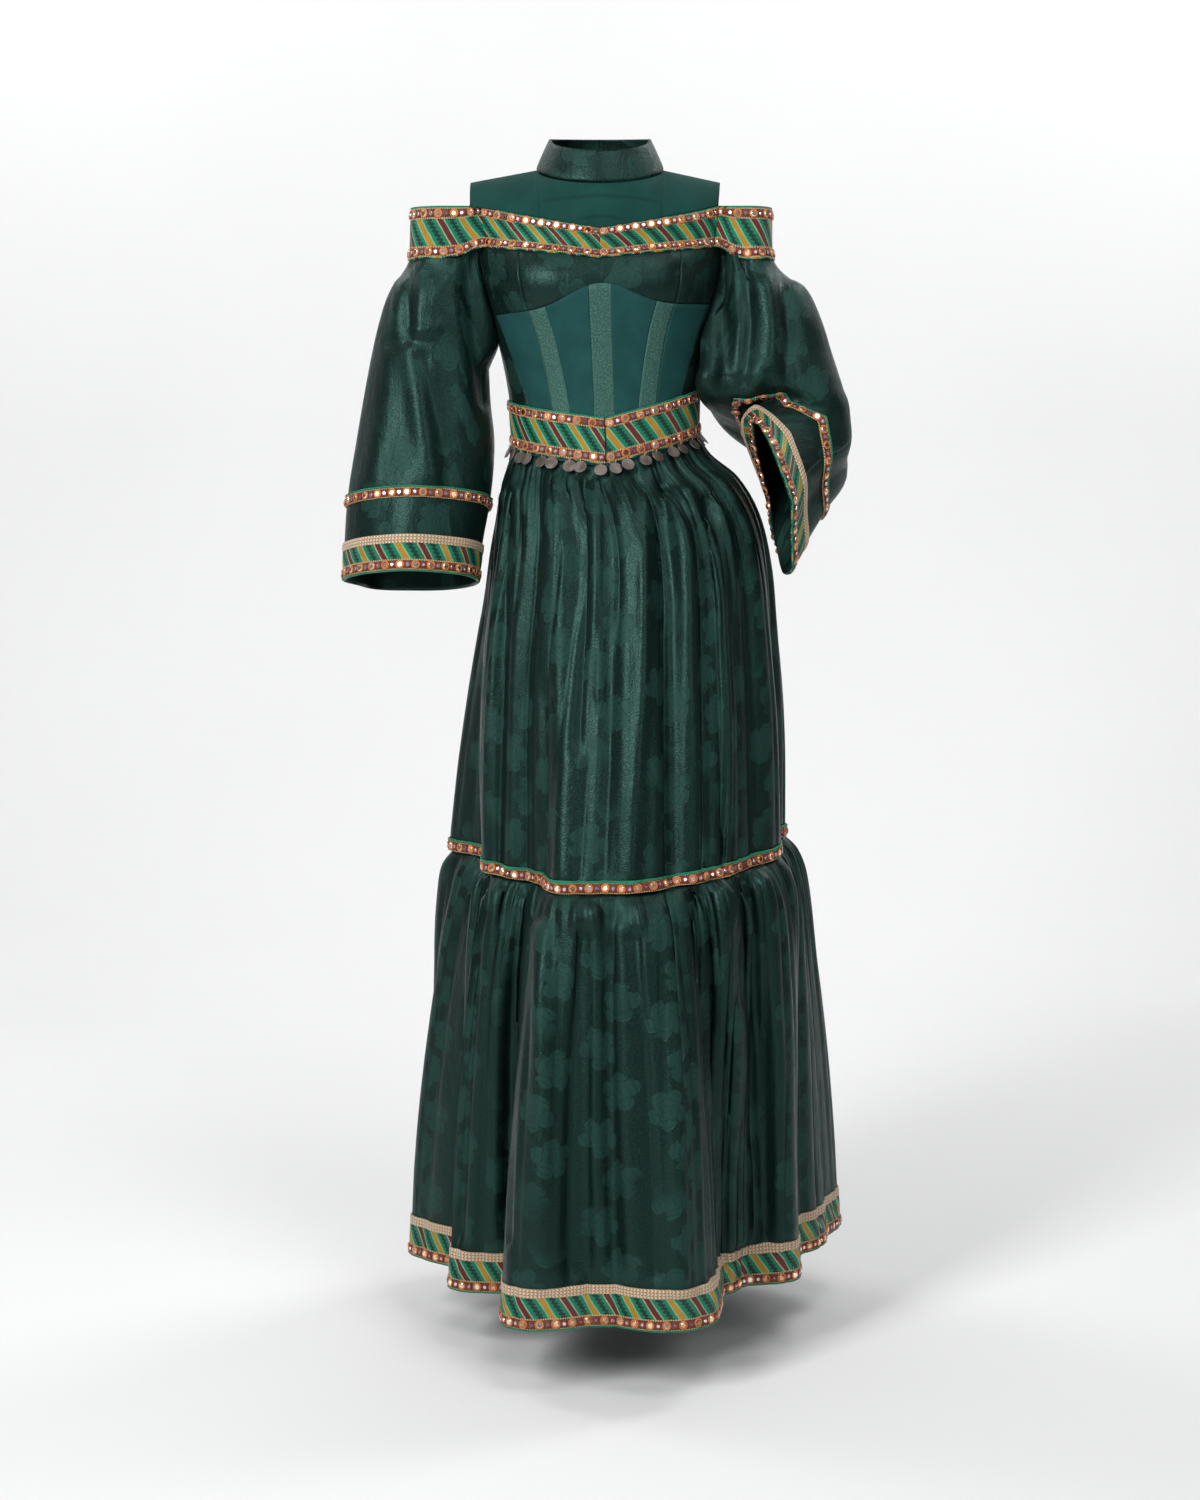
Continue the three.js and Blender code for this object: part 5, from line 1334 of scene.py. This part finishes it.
# Above FREE_BELOW the sleeve's inner side is drawn to the bodice, to SIDE_CLEAR from it and by MOST_DRAWN at most.
SIDE_CLEAR, MOST_DRAWN, FREE_BELOW = 2.6, 16, -236
for side, rings_of, sign, reach, creases in (
    ("left", BENT, 1, 216, BENT_CREASES), ("right", HANGING, -1, 238, HANGING_CREASES),
):
    points = sleeve_points(rings_of, sign, reach, SLEEVE_ROWS)
    beside = section_at(TORSO, "z", points[..., 2])
    aside, ahead = (points[..., 0] - beside["shift"]) / beside["half"], -points[..., 1] / beside["front"]
    turned = np.degrees(np.arctan2(aside, ahead))
    gap = points[..., 0] - on_section(beside, turned, points[..., 2], SIDE_CLEAR)[..., 0]
    gap = np.where(gap * sign > 0, np.clip(gap, -MOST_DRAWN, MOST_DRAWN), 0)
    inner = np.exp(-(((np.arange(SLEEVE_COLUMNS) / SLEEVE_COLUMNS - 0.5) / 0.12) ** 4))
    points[..., 0] -= gap * inner * rising(points[..., 2], FREE_BELOW, 34)
    points = pressed(points, outward(points, ring=True), creases)
    behind = [([(sign * x, z) for x, z in line], deep, wide) for line, deep, wide in SLEEVE_BACK_CREASES]
    points = pressed(points, outward(points, ring=True), behind, side=-1)
    out = outward(points, ring=True)
    for face, first in (("front", 0 if sign < 0 else HALF_SLEEVE), ("back", HALF_SLEEVE if sign < 0 else 0)):
        half, half_out = ring_part(points, out, slice(None), first, HALF_SLEEVE)
        piece = shell(f"cloth_sleeve_{face}_{side}", half, half_out, CLOTH, CLOTH, flat_map(half), satin)
        sew(piece, f"sleeve_{face}_{side}", cut_size(half))

    def rows_between(low, high):
        top, foot = np.searchsorted(SLEEVE_ROWS, [low - 1e-6, high - 1e-6])
        return slice(top, foot + 1)

    strips = []
    strip = drawn_over(*ring_part(points, out, rows_between(0, 1), -SLEEVE_JOIN, 2 * SLEEVE_JOIN), sign)
    strip_points, strip_out = trim_piece(
        "trim_sleeve_band_" + side, "sleeve_band_" + side, strip, TRIM_LIFT, WIDE_TRIM,
        [(0, 2.2)], [WIDE_FIELD], wide_trim,
    )
    seat = TRIM_LIFT + TRIM + MIRROR_SEAT
    strips += [(strip_points, strip_out, seat, at / WIDE_TRIM, False) for at in WIDE_ROWS]
    rows = rows_between(7, 8)
    strip_points, strip_out = trim_piece(
        "trim_sleeve_" + side, "sleeve_trim_" + side, (points[rows], out[rows]), TRIM_LIFT, CUFF[0],
        [(0, 2.6)], [], sleeve_narrow_trim, ring=True,
    )
    strips.append((strip_points, strip_out, seat, SLEEVE_ROW / CUFF[0], True))
    rows = rows_between(9, 10)
    trim_piece(
        "braid_sleeve_" + side, "sleeve_braid_" + side, (points[rows], out[rows]), BRAID_LIFT, CUFF[2],
        [], [(0, CUFF[2])], beige_braid, ring=True,
    )
    rows = rows_between(10, 11)
    strip_points, strip_out = trim_piece(
        "trim_cuff_" + side, "cuff_band_" + side, (points[rows], out[rows]), TRIM_LIFT, CUFF[3],
        [CUFF_CORD], [(0, 21)], cuff_trim, ring=True,
    )
    strips.append((strip_points, strip_out, seat, CUFF_ROW / CUFF[3], True))
    mirror_rows("sleeve_" + side, strips)

# ---------------------------------------------------------------- floor, light and camera
# A plain pale studio: a floor that rises behind into a backdrop, broad soft lights, and the camera
# at the photograph's place.

def stage_finish():
    material, shader, thread = finish_of("pale_studio_paper")
    place = thread.node("ShaderNodeTexCoord", {}, {}, out=3)
    tone = noise(thread, place, 1.5, 2).blend((0.86, 0.86, 0.86), (0.9, 0.9, 0.9))
    dress_shader(shader, Base_Color=tone, Roughness=0.9, Specular_IOR_Level=0.1)
    return material


FLOOR, BEND, BEND_AT = -1.49, 1.2, 2.2
profile = [(-6.0, FLOOR)]
profile += [(BEND_AT + BEND * math.sin(a), FLOOR + BEND * (1 - math.cos(a))) for a in np.linspace(0, np.pi / 2, 13)]
profile += [(BEND_AT + BEND, 5.0)]
paper = bpy.data.meshes.new("studio_paper")
paper.from_pydata(
    [(x, y, z) for y, z in profile for x in (-6, 6)], [],
    [(2 * i, 2 * i + 1, 2 * i + 3, 2 * i + 2) for i in range(len(profile) - 1)],
)
paper.polygons.foreach_set("use_smooth", np.ones(len(paper.polygons), bool))
paper.materials.append(stage_finish())
floor = bpy.data.objects.new("studio_paper", paper)
bpy.context.scene.collection.objects.link(floor)

for name, place, aim, (wide, tall), power in (
    ("key_light", (-1.85, -2.6, 0.95), (0, 0, -0.4), (0.9, 2.0), 98),
    ("fill_light", (1.5, -3.0, 0.9), (0, 0, -0.1), (1.0, 1.4), 22),
    ("top_light", (0.7, -1.3, 1.9), (0.05, 0, -0.2), (1.2, 1.2), 20),
    ("backdrop_light", (-2.4, 1.6, 2.4), (0, 3.4, -0.2), (1.6, 1.6), 53),
    ("backdrop_light_2", (2.4, 1.6, 2.4), (0, 3.4, -0.2), (1.6, 1.6), 66),
):
    lamp = bpy.data.lights.new(name, "AREA")
    lamp.shape, lamp.size, lamp.size_y, lamp.energy = "RECTANGLE", wide, tall, power
    holder = bpy.data.objects.new(name, lamp)
    holder.location = place
    direction = np.array(place) - np.array(aim)
    holder.rotation_euler = (
        math.acos(direction[2] / np.linalg.norm(direction)), 0, math.atan2(direction[1], direction[0]) + math.pi / 2,
    )
    bpy.context.scene.collection.objects.link(holder)

world = bpy.data.worlds.new("studio")
world.use_nodes = True
world.node_tree.nodes["Background"].inputs[0].default_value = (0.95, 0.97, 1, 1)
world.node_tree.nodes["Background"].inputs[1].default_value = 0.13
bpy.context.scene.world = world
bpy.context.scene.view_settings.view_transform = "Standard"

CAMERA_PITCH = 6.5
camera = bpy.data.objects.new("camera", bpy.data.cameras.new("camera"))
camera.data.lens, camera.data.sensor_width = 64.8, 36
camera.location = (0, -3.5, -0.33)
camera.rotation_euler = (math.radians(90 - CAMERA_PITCH), 0, 0)
bpy.context.scene.collection.objects.link(camera)
bpy.context.scene.camera = camera
